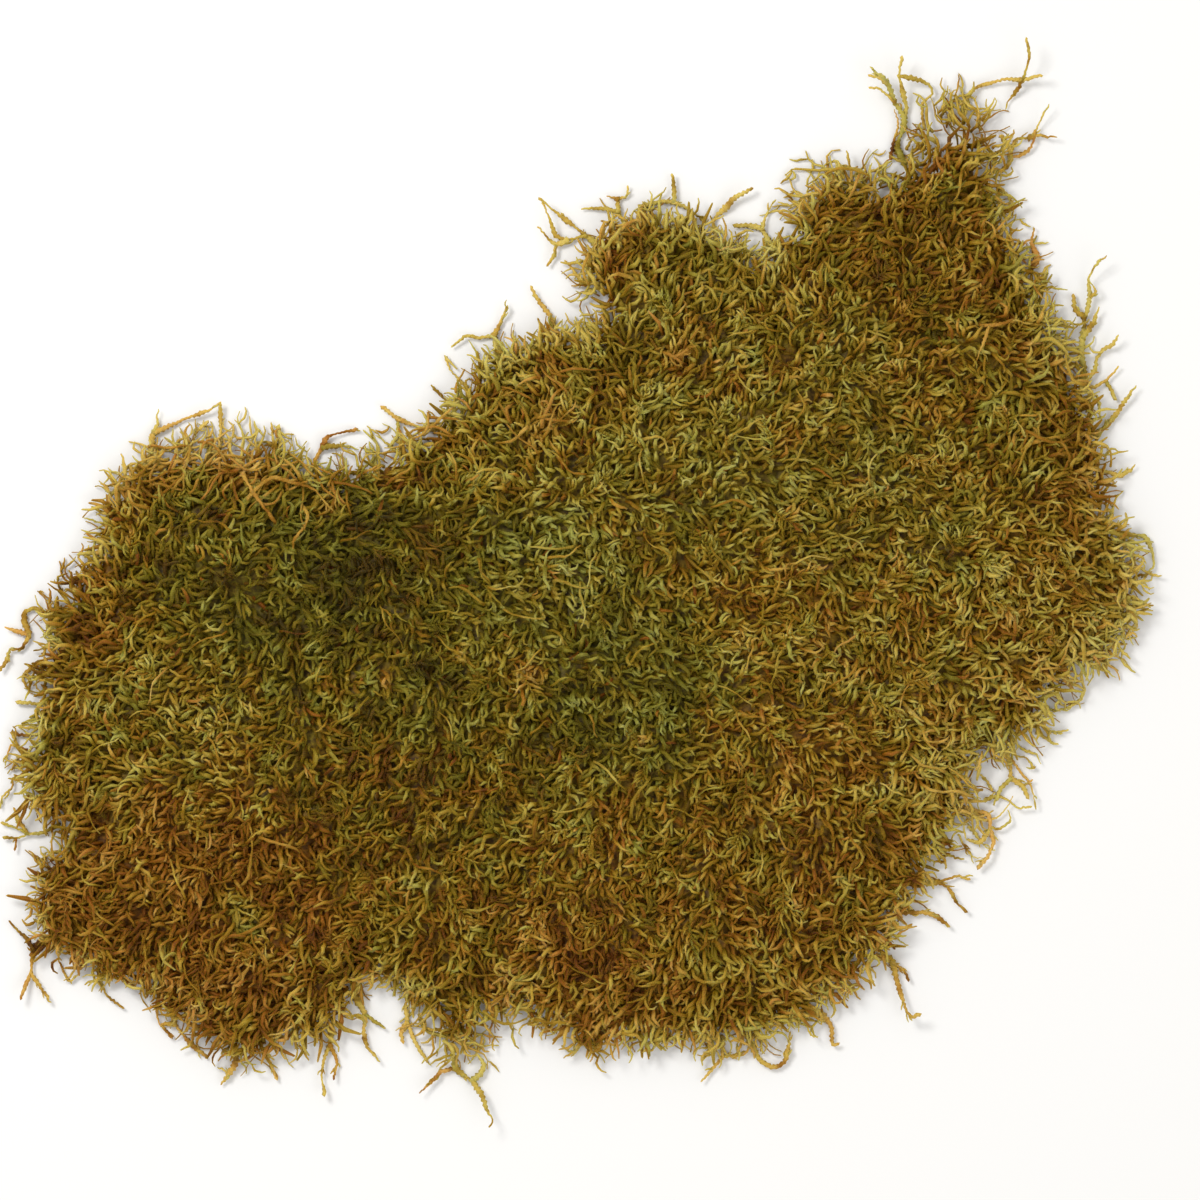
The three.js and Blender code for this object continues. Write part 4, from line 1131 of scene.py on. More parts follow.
@dataclass
class Sheet:
    """What all pieces share: the rim, the lie, the colours, the combs and the frame's nodes."""

    rim: Rim
    lie: Lie
    colouring: Colouring
    combing: Combing
    leaf_finish: bpy.types.Material
    stem_finish: bpy.types.Material
    owners: list[str] = field(default_factory=list)
    laces: Spots = field(default_factory=lambda: Spots.read(LACES))
    fray: SoftNoise = field(default_factory=lambda: SoftNoise(41, 6.5))
    fray_setback: Pair = (2.2, 2.4)  # the mean, and how far it swings
    light: Pair = (0.735, 0.47)  # painted light: in the middle, and how much more at the rim
    edge_pale: float = 0.24  # how much paler leaves are at the rim: partly their drier colour, partly painted light
    tip_pale: float = 0.32  # and at their tips: partly their own paler colour, partly a painted highlight
    dry_hue: float = 0.31
    odd_share: float = 0.02  # how many strands are rust, and twice as many are pale
    hue_spread: Pair = (0.03, 0.10)  # from shoot to shoot: the mean, and how much
    pale_spread: float = 0.10
    dry_pale: float = 0.10
    edge_band: Pair = (-3, 11)  # inside the rim, where leaves get paler and take more painted light
    mean_shade: float = 0.6
    hue_by_shade: float = 0.22  # lit leaves are greener than the brown ones in the shade
    pale_by_shade: float = 0.5  # and paler

    def __post_init__(self) -> None:
        """Lists the pile's nodes and prepares to look up which one lies under a point."""
        self.owners = sorted(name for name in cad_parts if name.startswith("pile_"))
        vertices: list[Vector] = []
        faces: list[tuple[int, ...]] = []
        self.face_owner: list[int] = []
        for index, name in enumerate(self.owners):
            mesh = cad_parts[name].data
            start = len(vertices)
            vertices.extend(Vector((v.co.x, v.co.y, 0.0)) for v in mesh.vertices)
            for polygon in mesh.polygons:
                faces.append(tuple(start + v for v in polygon.vertices))
                self.face_owner.append(index)
        self.tree = BVHTree.FromPolygons(vertices, faces)

    def owner_of(self, points: Array) -> Array:
        """Finds the pile node nearest to each point, in plan.

        Args:
            points: Where to look.

        Returns:
            The node's place in owners for each point.
        """
        spots = [Vector((x, y, 0.0)) for x, y in points[:, :2] * METRES]
        return np.array([self.face_owner[self.tree.find_nearest(spot)[2]] for spot in spots], int)

    def cover(self, points: Array) -> Array:
        """Gives how far points lie inside the dense mat, which frays towards the rim.

        Args:
            points: Where it is read.

        Returns:
            One distance for each point, negative outside the dense mat.
        """
        mean, swing = self.fray_setback
        setback = mean + swing * self.fray.at(points)
        setback = setback + self.laces.nearness(points) @ self.laces.values[:, 0]
        return self.rim.depth(points) - setback

    def scattered(self, spacing: float, rng: Random) -> Array:
        """Scatters points evenly over the sheet.

        Args:
            spacing: Their distance.
            rng: Where its random numbers come from.

        Returns:
            Points inside the rim.
        """
        low, high = self.rim.points.min(axis=0), self.rim.points.max(axis=0)
        row_step = 0.866  # of the spacing, where the points of next rows are staggered
        columns = int((high[0] - low[0]) / spacing) + 1
        rows = int((high[1] - low[1]) / (row_step * spacing)) + 1
        column, row = np.meshgrid(np.arange(columns), np.arange(rows))
        points = np.stack([column + 0.5 * (row % 2), row_step * row], axis=-1).reshape(-1, 2)
        points = low + spacing * (points + rng.uniform(-0.45, 0.45, points.shape))
        return points[self.rim.depth(points) > 0.3]

    def tinted(
        self,
        paths: Array,
        part: Array,
        shade: Pair,
        rng: Random,
        drier: float = 0.0,
    ) -> Array:
        """Colours strands by where they lie: one hue for each, and light and shade ring by ring.

        Args:
            paths: Points of each strand, shaped (strands, rings, 2 or 3).
            part: How far along each ring is, shaped (strands, rings).
            shade: Shade at the root and at the tip.
            rng: Where its random numbers come from.
            drier: How far they have turned brown and pale, from 0 to 1.

        Returns:
            The tint at each ring.
        """
        count, rings = part.shape
        points = paths[:, rings // 2]
        colour = self.colouring.at(points)
        odd = rng.random(count)
        hue = colour[:, 0] + (self.dry_hue - colour[:, 0]) * drier
        hue = hue + rng.normal(*self.hue_spread, count)
        hue = np.where(odd < self.odd_share, rng.uniform(0, 0.25, count), hue)
        pale = colour[:, 1] + self.dry_pale * drier + rng.normal(0, self.pale_spread, count)
        pale = np.where(odd > 1 - 2 * self.odd_share, pale + 0.35, pale)
        edge = 1 - smoothstep(self.rim.depth(points), *self.edge_band)
        pale = np.clip(pale + self.edge_pale * edge, 0, 1)
        brightness = (self.light[0] + self.light[1] * edge) * rng.uniform(0.9, 1.1, count)
        field_shade = self.colouring.at(paths.reshape(count * rings, paths.shape[-1]))[:, 2]
        # Painted shade: each strand darker at its root, down in the pile, and lighter towards its
        # tip
        run = shade[0] + (shade[1] - shade[0]) * smoothstep(part, 0.0, 0.65)
        run = np.clip(run * (field_shade.reshape(count, rings) * brightness[:, None]), 0, 1)
        lit = run - self.mean_shade
        tint = np.stack([
            hue[:, None] - 0.08 * part + self.hue_by_shade * lit,
            pale[:, None] + self.tip_pale * part**2 + self.pale_by_shade * lit,
            run,
        ], axis=-1)
        return np.clip(tint, 0, 1)


@dataclass(frozen=True)
class Layer:
    """One layer of single shoots."""

    form: ShootForm
    spacing: float
    depth: float  # how deep the roots lie under the bed's top
    # Painted shade at root and tip: lower for the deeper layers
    shade: Pair
    stray: float  # how far headings differ from the combing
    strands: Strands = Strands()


@dataclass
class Pile:
    """The leafy pile: a bed, the shoots that grow out of it and its fringe, in patches."""

    sheet: Sheet
    layers: tuple[Layer, ...] = (
        Layer(
            ShootForm(
                rings=3, length=(7.0, 11.0), half_width=(0.85, 1.15), climb=(0.0, 0.35),
                droop=(-0.1, 0.3), hook=(0.2, 1.4),
            ),
            spacing=4.0, depth=2.1, shade=(0.34, 0.55), stray=1.4, strands=Strands(flatness=0.5),
        ),
        Layer(
            ShootForm(length=(6.5, 11.0), climb=(0.25, 0.75), droop=(0.1, 0.8)),
            spacing=4.4, depth=1.4, shade=(0.38, 0.78), stray=0.8,
        ),
        Layer(
            ShootForm(length=(3.8, 8.4), half_width=(0.54, 1.04), hook=(0.1, 1.9)),
            spacing=4.3, depth=0.7, shade=(0.48, 0.98), stray=0.5,
        ),
        Layer(
            ShootForm(
                rings=7, length=(6.5, 12.0), half_width=(0.46, 0.9), climb=(0.3, 0.9),
                droop=(0.3, 1.0), hook=(0.6, 3.6), snake=0.3,
            ),
            spacing=7.4, depth=0.3, shade=(0.55, 1.0), stray=0.8,
        ),
    )
    seed: int = 2024
    cell: float = 3.4  # of the bed
    frond_spacing: float = 30.0
    frond_stem: StemForm = StemForm(rings=6, length=(11.0, 20.0), half_width=(0.4, 0.6))
    frond_lift: float = 0.8  # over the bed
    frond_arch: Pair = (0.4, 2.0)
    frond_shade: Pair = (0.5, 1.0)
    frond_pairs: int = 8  # side shoots on each side of a frond
    frond_shoot: ShootForm = ShootForm(
        length=(4.4, 7.4), half_width=(0.42, 0.66), climb=(0.1, 0.8), hook=(0.4, 2.2)
    )
    frond_lean: Pair = (1.05, 0.55)  # of the side shoots, first and last
    frond_shoot_shade: Pair = (0.45, 1.0)
    stray_spacing: float = 30.0
    stray_stem: StemForm = StemForm(
        rings=9, length=(9.0, 20.0), half_width=(0.4, 0.62), wobble=0.35
    )
    stray_arch: Pair = (3.4, 0.6)  # its height, and how deep the ends are sunk
    stray_shade: Pair = (0.75, 1.0)
    tangle_stem: StemForm = StemForm(
        rings=9, length=(8.0, 22.0), half_width=(0.5, 0.85), bend=0.9, wobble=0.3
    )
    tangle_arch: Pair = (4.0, 0.8)
    tangle_reach: float = 6.0  # how far past the rim it may go
    tangle_shade: Pair = (0.9, 1.0)
    long_dry: float = 0.8  # how dry strays and tangles are
    fringe_spacing: float = 1.3
    fringe_share: float = 0.66  # of the rim that it grows from
    fringe_clumping: float = 0.7  # how far that swings from place to place
    fringe_clumps: SoftNoise = field(default_factory=lambda: SoftNoise(52, 5.0))
    fringe_length: Pair = (0.85, 0.35)  # the mean factor, and its swing
    fringe_lengths: SoftNoise = field(default_factory=lambda: SoftNoise(51, 14))
    fringe_root: Pair = (1.0, 7.5)  # how far inside the rim it starts
    fringe_level: Pair = (0.25, 1.0)  # of the bed's height, where it starts
    fringe_turn: float = 0.75  # how far it turns from straight out
    fringe_fall: float = 9.0  # how far past the rim it has come down
    fringe_arch: float = 2.5
    fringe_shade: Pair = (0.8, 1.0)
    fringe_stem: StemForm = StemForm(
        rings=8, length=(7.0, 13.5), half_width=(0.6, 1.0), bend=1.3, wobble=0.6, taper=0.65
    )
    fringe_shoot: ShootForm = ShootForm(
        rings=6, length=(5.0, 10.0), half_width=(0.45, 0.8), climb=(-0.2, 0.5),
        droop=(-0.1, 0.6), hook=(0.4, 2.6),
    )

    def single_shoots(self, layer: Layer, rng: Random) -> Growth:
        """Grows one layer of single shoots.

        Args:
            layer: Their sizes.
            rng: Where its random numbers come from.

        Returns:
            The shoots.
        """
        sheet = self.sheet
        points = sheet.scattered(layer.spacing, rng)
        points = points[sheet.cover(points) > -0.5]
        headings = sheet.combing.at(points) + rng.normal(0, layer.stray, len(points))
        roots = raised(points, sheet.lie.bed(points) - layer.depth)
        size = rng.uniform(0.75, 1.2, len(points))
        scale = size * (1.25 - 0.3 * smoothstep(sheet.rim.depth(points), 5, 60))
        paths, widths, part = layer.form.curves(roots, headings, rng, scale)
        widths = widths * np.sqrt(size)[:, None]
        return Growth(paths, widths, sheet.tinted(paths, part, layer.shade, rng), layer.strands)

    def fronds(self, rng: Random) -> list[Growth]:
        """Grows feathery fronds: lying stems with curved side shoots in step on both sides.

        Args:
            rng: Where its random numbers come from.

        Returns:
            The stems and their side shoots.
        """
        sheet = self.sheet
        starts = sheet.scattered(self.frond_spacing, rng)
        headings = sheet.combing.at(starts) + rng.normal(0, 0.5, len(starts))
        lying = self.frond_stem.wander(starts, headings, rng)
        lying = lying.kept((sheet.cover(lying.flat) > 0).all(axis=1))
        arch = rng.uniform(*self.frond_arch, (len(lying.flat), 1))
        rise = self.frond_lift + arch * np.sin(math.pi * (0.15 + 0.75 * lying.run))
        paths = raised(lying.flat, sheet.lie.bed(lying.flat) + rise)
        tint = sheet.tinted(paths, lying.run, self.frond_shade, rng, 0.3)
        growths = [Growth(paths, lying.widths, tint)]
        shoots = 2 * self.frond_pairs
        at = (np.arange(shoots) + 0.6) / (shoots + 0.2)
        at = np.clip(at + rng.uniform(-0.02, 0.02, shoots), 0, 1)
        station = at * (self.frond_stem.rings - 1)
        low = np.minimum(station.astype(int), self.frond_stem.rings - 2)
        blend = (station - low)[:, None]
        roots = paths[:, low] * (1 - blend) + paths[:, low + 1] * blend
        side = np.where(np.arange(shoots) % 2, 1.0, -1.0)
        lean = self.frond_lean[0] + (self.frond_lean[1] - self.frond_lean[0]) * at
        lean = lying.heading[:, low] + side * lean
        lean = lean + rng.normal(0, 0.3, lean.shape)
        scale = 0.6 + 0.5 * np.sin(math.pi * np.clip(1.15 * at, 0, 1) ** 0.8)
        scale = np.broadcast_to(scale, lean.shape) * rng.uniform(0.6, 1.4, lean.shape)
        sides = np.broadcast_to(-side, lean.shape).ravel()
        paths, widths, part = self.frond_shoot.curves(
            roots.reshape(-1, 3), lean.ravel(), rng, scale.ravel(), sides
        )
        tint = sheet.tinted(paths, part, self.frond_shoot_shade, rng)
        growths.append(Growth(paths, widths, tint))
        return growths

    def strays(self, rng: Random) -> Growth:
        """Lays a few long dry stems over the pile.

        Args:
            rng: Where its random numbers come from.

        Returns:
            The stems.
        """
        sheet = self.sheet
        starts = sheet.scattered(self.stray_spacing, rng)
        headings = rng.uniform(-math.pi, math.pi, len(starts))
        lying = self.stray_stem.wander(starts, headings, rng)
        lying = lying.kept((sheet.cover(lying.flat) > -2).all(axis=1))
        paths = raised(lying.flat, sheet.lie.bed(lying.flat) + lying.arch(*self.stray_arch))
        tint = sheet.tinted(paths, lying.run, self.stray_shade, rng, self.long_dry)
        return Growth(paths, lying.widths, tint)

    def tangles(self, rng: Random) -> Growth:
        """Lays the tangles of long dry stems on the pile.

        Args:
            rng: Where its random numbers come from.

        Returns:
            The stems.
        """
        sheet = self.sheet
        thatches = Spots.read(THATCHES)
        counts = thatches.values[:, 0].astype(int)
        start = np.concatenate([
            middle + rng.normal(0, reach, (count, 2))
            for middle, reach, count in zip(thatches.middles, thatches.reaches, counts)
        ])
        own = np.repeat(thatches.values[:, 1:], counts, axis=0)
        headings = rng.uniform(-math.pi, math.pi, len(start))
        lying = self.tangle_stem.wander(start, headings, rng)
        keep = sheet.rim.depth(lying.flat).min(axis=1) > -self.tangle_reach
        lying, own = lying.kept(keep), own[keep]
        ground = sheet.lie.bed(lying.flat)
        ground = ground * (1 - 0.6 * smoothstep(
            -sheet.rim.depth(lying.flat), 0, self.tangle_reach
        ))
        paths = raised(lying.flat, ground + lying.arch(*self.tangle_arch))
        tint = sheet.tinted(paths, lying.run, self.tangle_shade, rng, self.long_dry)
        tint[..., 0] = own[:, :1] + rng.normal(0, 0.07, (len(own), 1))
        tint[..., 1] = own[:, 1:] + rng.normal(0, 0.12, (len(own), 1))
        tint[..., 2] *= rng.uniform(0.65, 1.0, (len(own), 1))
        return Growth(paths, lying.widths, tint, Strands(plait=0.14))

    def fringe(self, rng: Random) -> list[Growth]:
        """Grows the loose fringe past the rim: wandering strands with a side shoot each.

        Args:
            rng: Where its random numbers come from.

        Returns:
            The strands and their side shoots.
        """
        sheet = self.sheet
        edge, out = sheet.rim.stations(self.fringe_spacing, rng)
        share = self.fringe_share + self.fringe_clumping * self.fringe_clumps.at(edge)
        clumped = rng.random(len(edge)) < share
        edge, out = edge[clumped], out[clumped]
        count = len(edge)
        shags = Spots.read(SHAGS)
        factor = self.fringe_length[0] + self.fringe_length[1] * self.fringe_lengths.at(edge)
        factor += shags.nearness(edge) @ (shags.values[:, 0] - 1)
        starts = edge - rng.uniform(*self.fringe_root, count)[:, None] * way(out)
        headings = out + rng.normal(0, self.fringe_turn, count)
        loose = self.fringe_stem.wander(starts, headings, rng, factor)
        start_height = rng.uniform(*self.fringe_level, count) * sheet.lie.bed(starts)
        outside = np.clip(-sheet.rim.depth(loose.flat), 0, None)
        height = start_height[:, None] * (1 - 0.75 * smoothstep(outside, 0, self.fringe_fall))
        arch = rng.uniform(0, self.fringe_arch, (count, 1))
        height = height + arch * np.sin(math.pi * loose.run)
        paths = raised(loose.flat, height)
        tint = sheet.tinted(paths, loose.run, self.fringe_shade, rng, 0.7)
        growths = [Growth(paths, loose.widths, tint, Strands(plait=0.2))]
        station = rng.integers(2, self.fringe_stem.rings - 1, (count, 1))[:, 0]
        each = np.arange(count)
        side = either_side(count, rng)
        lean = loose.heading[each, station] + side * rng.uniform(0.4, 1.1, count)
        paths, widths, part = self.fringe_shoot.curves(paths[each, station], lean, rng, 1.0, -side)
        tint = sheet.tinted(paths, part, self.fringe_shade, rng, 0.5)
        growths.append(Growth(paths, widths, tint))
        return growths

    def build(self) -> list[bpy.types.Object]:
        """Grows the shoots and makes one piece for each patch.

        Returns:
            The pieces.
        """
        sheet = self.sheet
        rng = np.random.default_rng(self.seed)
        growths = [self.single_shoots(layer, rng) for layer in self.layers]
        growths += self.fronds(rng)
        growths.append(self.strays(rng))
        growths.append(self.tangles(rng))
        growths += self.fringe(rng)
        owners = [sheet.owner_of(growth.paths[:, 0]) for growth in growths]
        bed = Bed(sheet, self.cell)
        pieces = []
        for index, node in enumerate(sheet.owners):
            parts = [growth.picked(owner == index) for growth, owner in zip(growths, owners)]
            shell = Shell.joined([bed.slab(index), Growth.to_shell(parts)])
            name = node.removeprefix("pile_")
            pieces.append(shell.to_piece("shoots_" + name, sheet.leaf_finish, node, name + "_moss"))
        return pieces


@dataclass
class Bed:
    """The dark matted bed under the shoots, its darkness partly painted shade: closed slabs of
    shared grid cells.
    """

    sheet: Sheet
    cell: float
    floor: float = 3.4
    least: float = 0.4  # how thick a slab is at least
    sunk: float = 3.2  # how far its top lies under the roots' level
    rim_sunk: float = 2.0  # and how much further at the rim
    rough: float = 1.4  # how far its points stand up and down
    hue: Pair = (0.1, 0.8)  # the least, and the share of the sheet's own
    shade: Pair = (0.12, 0.22)  # the least, and how much it varies
    rim_shade: float = 0.1  # how much lighter it is at the rim, with less painted shade
    seed: int = 77

    def __post_init__(self) -> None:
        """Lays out the points and shares the cells out among the patches."""
        sheet, cell = self.sheet, self.cell
        low, high = sheet.rim.points.min(axis=0), sheet.rim.points.max(axis=0)
        x = np.arange(low[0], high[0] + cell, cell)
        y = np.arange(low[1], high[1] + cell, cell)
        flat = np.stack(np.meshgrid(x, y, indexing="ij"), axis=-1).reshape(-1, 2)
        rng = np.random.default_rng(self.seed)
        flat = flat + rng.uniform(-0.3, 0.3, flat.shape) * cell
        height = sheet.lie.bed(flat) - self.sunk + rng.uniform(-self.rough, self.rough, len(flat))
        cover = sheet.cover(flat)
        height -= self.rim_sunk * (1 - smoothstep(cover, 0, 6))
        self.flat = flat
        self.height = np.maximum(height, self.floor + self.least)
        self.tint = sheet.colouring.at(flat)
        self.tint[:, 0] = self.hue[0] + self.hue[1] * self.tint[:, 0]
        self.tint[:, 1] = 0
        self.tint[:, 2] = self.shade[0] + self.shade[1] * rng.random(len(flat))
        self.tint[:, 2] += self.rim_shade * (1 - smoothstep(cover, 2, 12))
        self.shape = (len(x), len(y))
        inside = (cover > 0).reshape(self.shape)
        whole = inside[:-1, :-1] & inside[1:, :-1] & inside[:-1, 1:] & inside[1:, 1:]
        self.owner = np.full(whole.shape, -1)
        i, j = np.nonzero(whole)
        corner = flat.reshape(*self.shape, 2)[i, j]
        self.owner[i, j] = sheet.owner_of(corner + cell / 2)

    def slab(
        self, owner: int | None, top: float | None = None, bottom: float | None = None
    ) -> Shell:
        """Makes a closed slab of the cells of one patch, or of all.

        Args:
            owner: The patch's place in the list of nodes, or None for the whole sheet.
            top: A flat top's height, or None for the bed's own.
            bottom: A flat underside's height, or None for the bed's own.

        Returns:
            The slab.
        """
        i, j = np.nonzero(self.owner >= 0 if owner is None else self.owner == owner)
        rows = self.shape[1]
        corner = i * rows + j
        quads = np.stack([corner, corner + rows, corner + rows + 1, corner + 1], axis=1)
        used, packed = np.unique(quads, return_inverse=True)
        quads = packed.reshape(-1, 4)
        count = len(used)
        starts, ends = quads.ravel(), np.roll(quads, -1, axis=1).ravel()
        there = set(zip(starts.tolist(), ends.tolist()))
        walls = np.array([
            (b, a, a + count, b + count) for a, b in sorted(there) if (b, a) not in there
        ])
        faces = np.concatenate([quads, quads[:, ::-1] + count, walls])
        flat = np.concatenate([self.flat[used]] * 2)
        height = self.height[used] if top is None else np.full(count, top)
        under = np.full(count, self.floor if bottom is None else bottom)
        spots = (flat - flat.min(axis=0)) / np.ptp(flat, axis=0).max()
        return Shell(
            raised(flat, np.concatenate([height, under])),
            faces,
            np.empty((0, 3), int),
            np.concatenate([self.tint[used]] * 2),
            np.tile([0.0, 0.5, 1.0], (2 * count, 1)),
            0.01 + 0.98 * spots[faces],
            np.empty((0, 3, 2)),
        )


@dataclass
class Sprays:
    """The loose leafy sprays past the rim, one piece for each."""

    sheet: Sheet
    height: float = 1.9
    wisp_lift: float = 2.0
    lift_from: float = 9.0
    lift_to: float = 34.0
    half_width: float = 1.3
    wisp_width: float = 0.64  # over a spray's
    branch_width: float = 0.82  # over the first strand's
    ring_spacing: float = 0.9
    leaf_spacing: float = 1.5
    smoothing: float = 0.6  # of its curves through the pixels; the rest is straight
    kink: float = 0.11
    knots: Pair = (0.42, 1.5)  # how its width swells and shrinks
    clumping: Pair = (-0.9, 1.0)  # how likely a leaf is, bare below 0
    stem: Strands = Strands(Section.FINE, plait=0.26, flatness=0.8)
    stem_shade: Pair = (0.76, 0.9)
    leaf: ShootForm = ShootForm(
        rings=4, length=(1.6, 4.2), half_width=(0.34, 0.6), climb=(-0.3, 0.6),
        droop=(-0.3, 0.6), hook=(0.0, 1.6),
    )
    leaf_shade: Pair = (0.8, 1.0)
    seed: int = 4000
    wisp_seed: int = 4999

    def build(self) -> list[bpy.types.Object]:
        """Makes every spray, and one piece of the finest wisps.

        Returns:
            The pieces.
        """
        finish, slot = self.sheet.leaf_finish, "loose_sprays"
        pieces = []
        for index, (name, (lift, strands)) in enumerate(named_strands(SPRAYS).items()):
            shell = self.spray(strands, lift, self.half_width, self.seed + index)
            pieces.append(shell.to_piece("sprig_" + name, finish, "spray_" + name, slot))
        wisps = [strand(text) for text in entries(WISPS)]
        width = self.wisp_width * self.half_width
        shell = self.spray(wisps, self.wisp_lift, width, self.wisp_seed)
        pieces.append(shell.to_piece("fine_wisps", finish, None, slot))
        return pieces

    def spray(
        self, strands: list[Array], lift: float, half_width: float, seed: int
    ) -> Shell:
        """Makes one spray.

        Args:
            strands: Its strands' points in plan.
            lift: How high they rise away from the rim.
            half_width: Half the first strand's width at its root.
            seed: What its random numbers start from.

        Returns:
            Its strands and leaves.
        """
        rng = np.random.default_rng(seed)
        curves = [self.curve(points, lift, rng) for points in strands]
        return Growth.to_shell(self.leafy(curves, half_width, rng))

    def curve(self, points: Array, lift: float, rng: Random) -> Array:
        """Bends a crooked curve through a strand's points, at its height above the table.

        Args:
            points: The strand's points in plan.
            lift: How high it rises away from the rim.
            rng: Where its random numbers come from.

        Returns:
            Points along the curve.
        """
        before, after = 2 * points[0] - points[1], 2 * points[-1] - points[-2]
        padded = np.concatenate([[before], points, [after]])
        run = []
        for a, b, c, d in zip(padded, padded[1:], padded[2:], padded[3:]):
            steps = max(2, int(np.linalg.norm(c - b) / self.ring_spacing))
            t = np.linspace(0, 1, steps, endpoint=False)[:, None]
            square = (2 * a - 5 * b + 4 * c - d) * t**2
            smooth = 0.5 * (2 * b + (c - a) * t + square + (3 * b - a - 3 * c + d) * t**3)
            straight = b + (c - b) * t
            run.append(self.smoothing * smooth + (1 - self.smoothing) * straight)
        flat = np.concatenate([*run, points[-1:]])
        kink = rng.normal(0, self.kink, flat.shape)
        kink[0] = 0
        flat = flat + kink
        outside = np.maximum(0, -self.sheet.rim.depth(flat))
        rise = lift * smoothstep(outside, self.lift_from, self.lift_to)
        rise = rise + 0.5 * np.sin(np.arange(len(flat)) / 3.0 + rng.uniform(0, 6))
        return raised(flat, self.height + rise)

    def leafy(
        self, curves: list[Array], half_width: float, rng: Random
    ) -> list[Growth]:
        """Makes stems and the small leaves pressed against them.

        Args:
            curves: The stems' curves.
            half_width: Half the first stem's width at its root.
            rng: Where its random numbers come from.

        Returns:
            The stems and the leaves.
        """
        growths = []
        roots, leans, sides = [], [], []
        for order, curve in enumerate(curves):
            part = np.linspace(0, 1, len(curve))
            swells = max(3, len(curve) // 4)
            at = np.linspace(0, 1, swells)
            knots = np.interp(part, at, rng.uniform(*self.knots, swells))
            share = 1.0 if order == 0 else self.branch_width
            width = half_width * share * (1 - 0.5 * part) * knots
            along = np.gradient(curve, axis=0)
            run = np.cumsum(np.linalg.norm(along[:, :2], axis=1))
            stations = np.searchsorted(run, np.arange(0.8, run[-1], self.leaf_spacing))
            stations = np.clip(stations, 0, len(curve) - 1)
            clumps = np.interp(part, at, rng.uniform(*self.clumping, swells))
            stations = stations[rng.random(len(stations)) < clumps[stations]]
            side = -either_side(len(stations), rng)
            heading = np.arctan2(along[stations, 1], along[stations, 0])
            roots.append(curve[stations])
            leans.append(heading + side * rng.uniform(0.1, 0.7, len(stations)))
            sides.append(side)
            tint = self.sheet.tinted(curve[None], part[None], self.stem_shade, rng, 0.6)
            tint[..., 0] += 0.06 * np.sin(9 * part + order)
            growths.append(Growth(curve[None], width[None], tint, self.stem))
        paths, widths, part = self.leaf.curves(
            np.concatenate(roots), np.concatenate(leans), rng, 1.0, -np.concatenate(sides)
        )
        tint = self.sheet.tinted(paths, part, self.leaf_shade, rng, 0.5)
        growths.append(Growth(paths, widths, tint, Strands(plait=0.1)))
        return growths


@dataclass
class Runners:
    """Bare, rough stems that lie on the pile."""

    sheet: Sheet
    lift: float = 4.6
    end_depth: float = 1.5
    width: float = 1.1  # over the solid's
    leaf_spacing: float = 2.4
    seed: int = 6000

    def build(self) -> list[bpy.types.Object]:
        """Makes every runner.

        Returns:
            The pieces.
        """
        pieces = []
        sprays = Sprays(self.sheet, leaf_spacing=self.leaf_spacing)
        for index, (name, (radius, strands)) in enumerate(named_strands(RUNNERS).items()):
            rng = np.random.default_rng(self.seed + index)
            curves = []
            for order, points in enumerate(strands):
                curve = sprays.curve(points, 0.0, rng)
                part = np.linspace(0, 1, len(curve))
                inner = 1 - smoothstep(part, 0.7, 1.0)
                if order == 0:
                    inner = np.minimum(inner, smoothstep(part, 0.0, 0.3))
                lift = (self.lift + self.end_depth) * inner - self.end_depth
                curve[:, 2] = self.sheet.lie.core(curve) + lift
                curves.append(curve)
            growths = sprays.leafy(curves, self.width * radius, rng)
            for growth in growths:
                growth.tint[..., 0] = 0.14 + 0.3 * (growth.tint[..., 0] - 0.3)
                growth.tint[..., 1] = 0.42 + 0.2 * (growth.tint[..., 1] - 0.3)
            pieces.append(Growth.to_shell(growths).to_piece(
                "stem_" + name, self.sheet.leaf_finish, "runner_" + name, f"bare_{name}_stem"
            ))
        return pieces


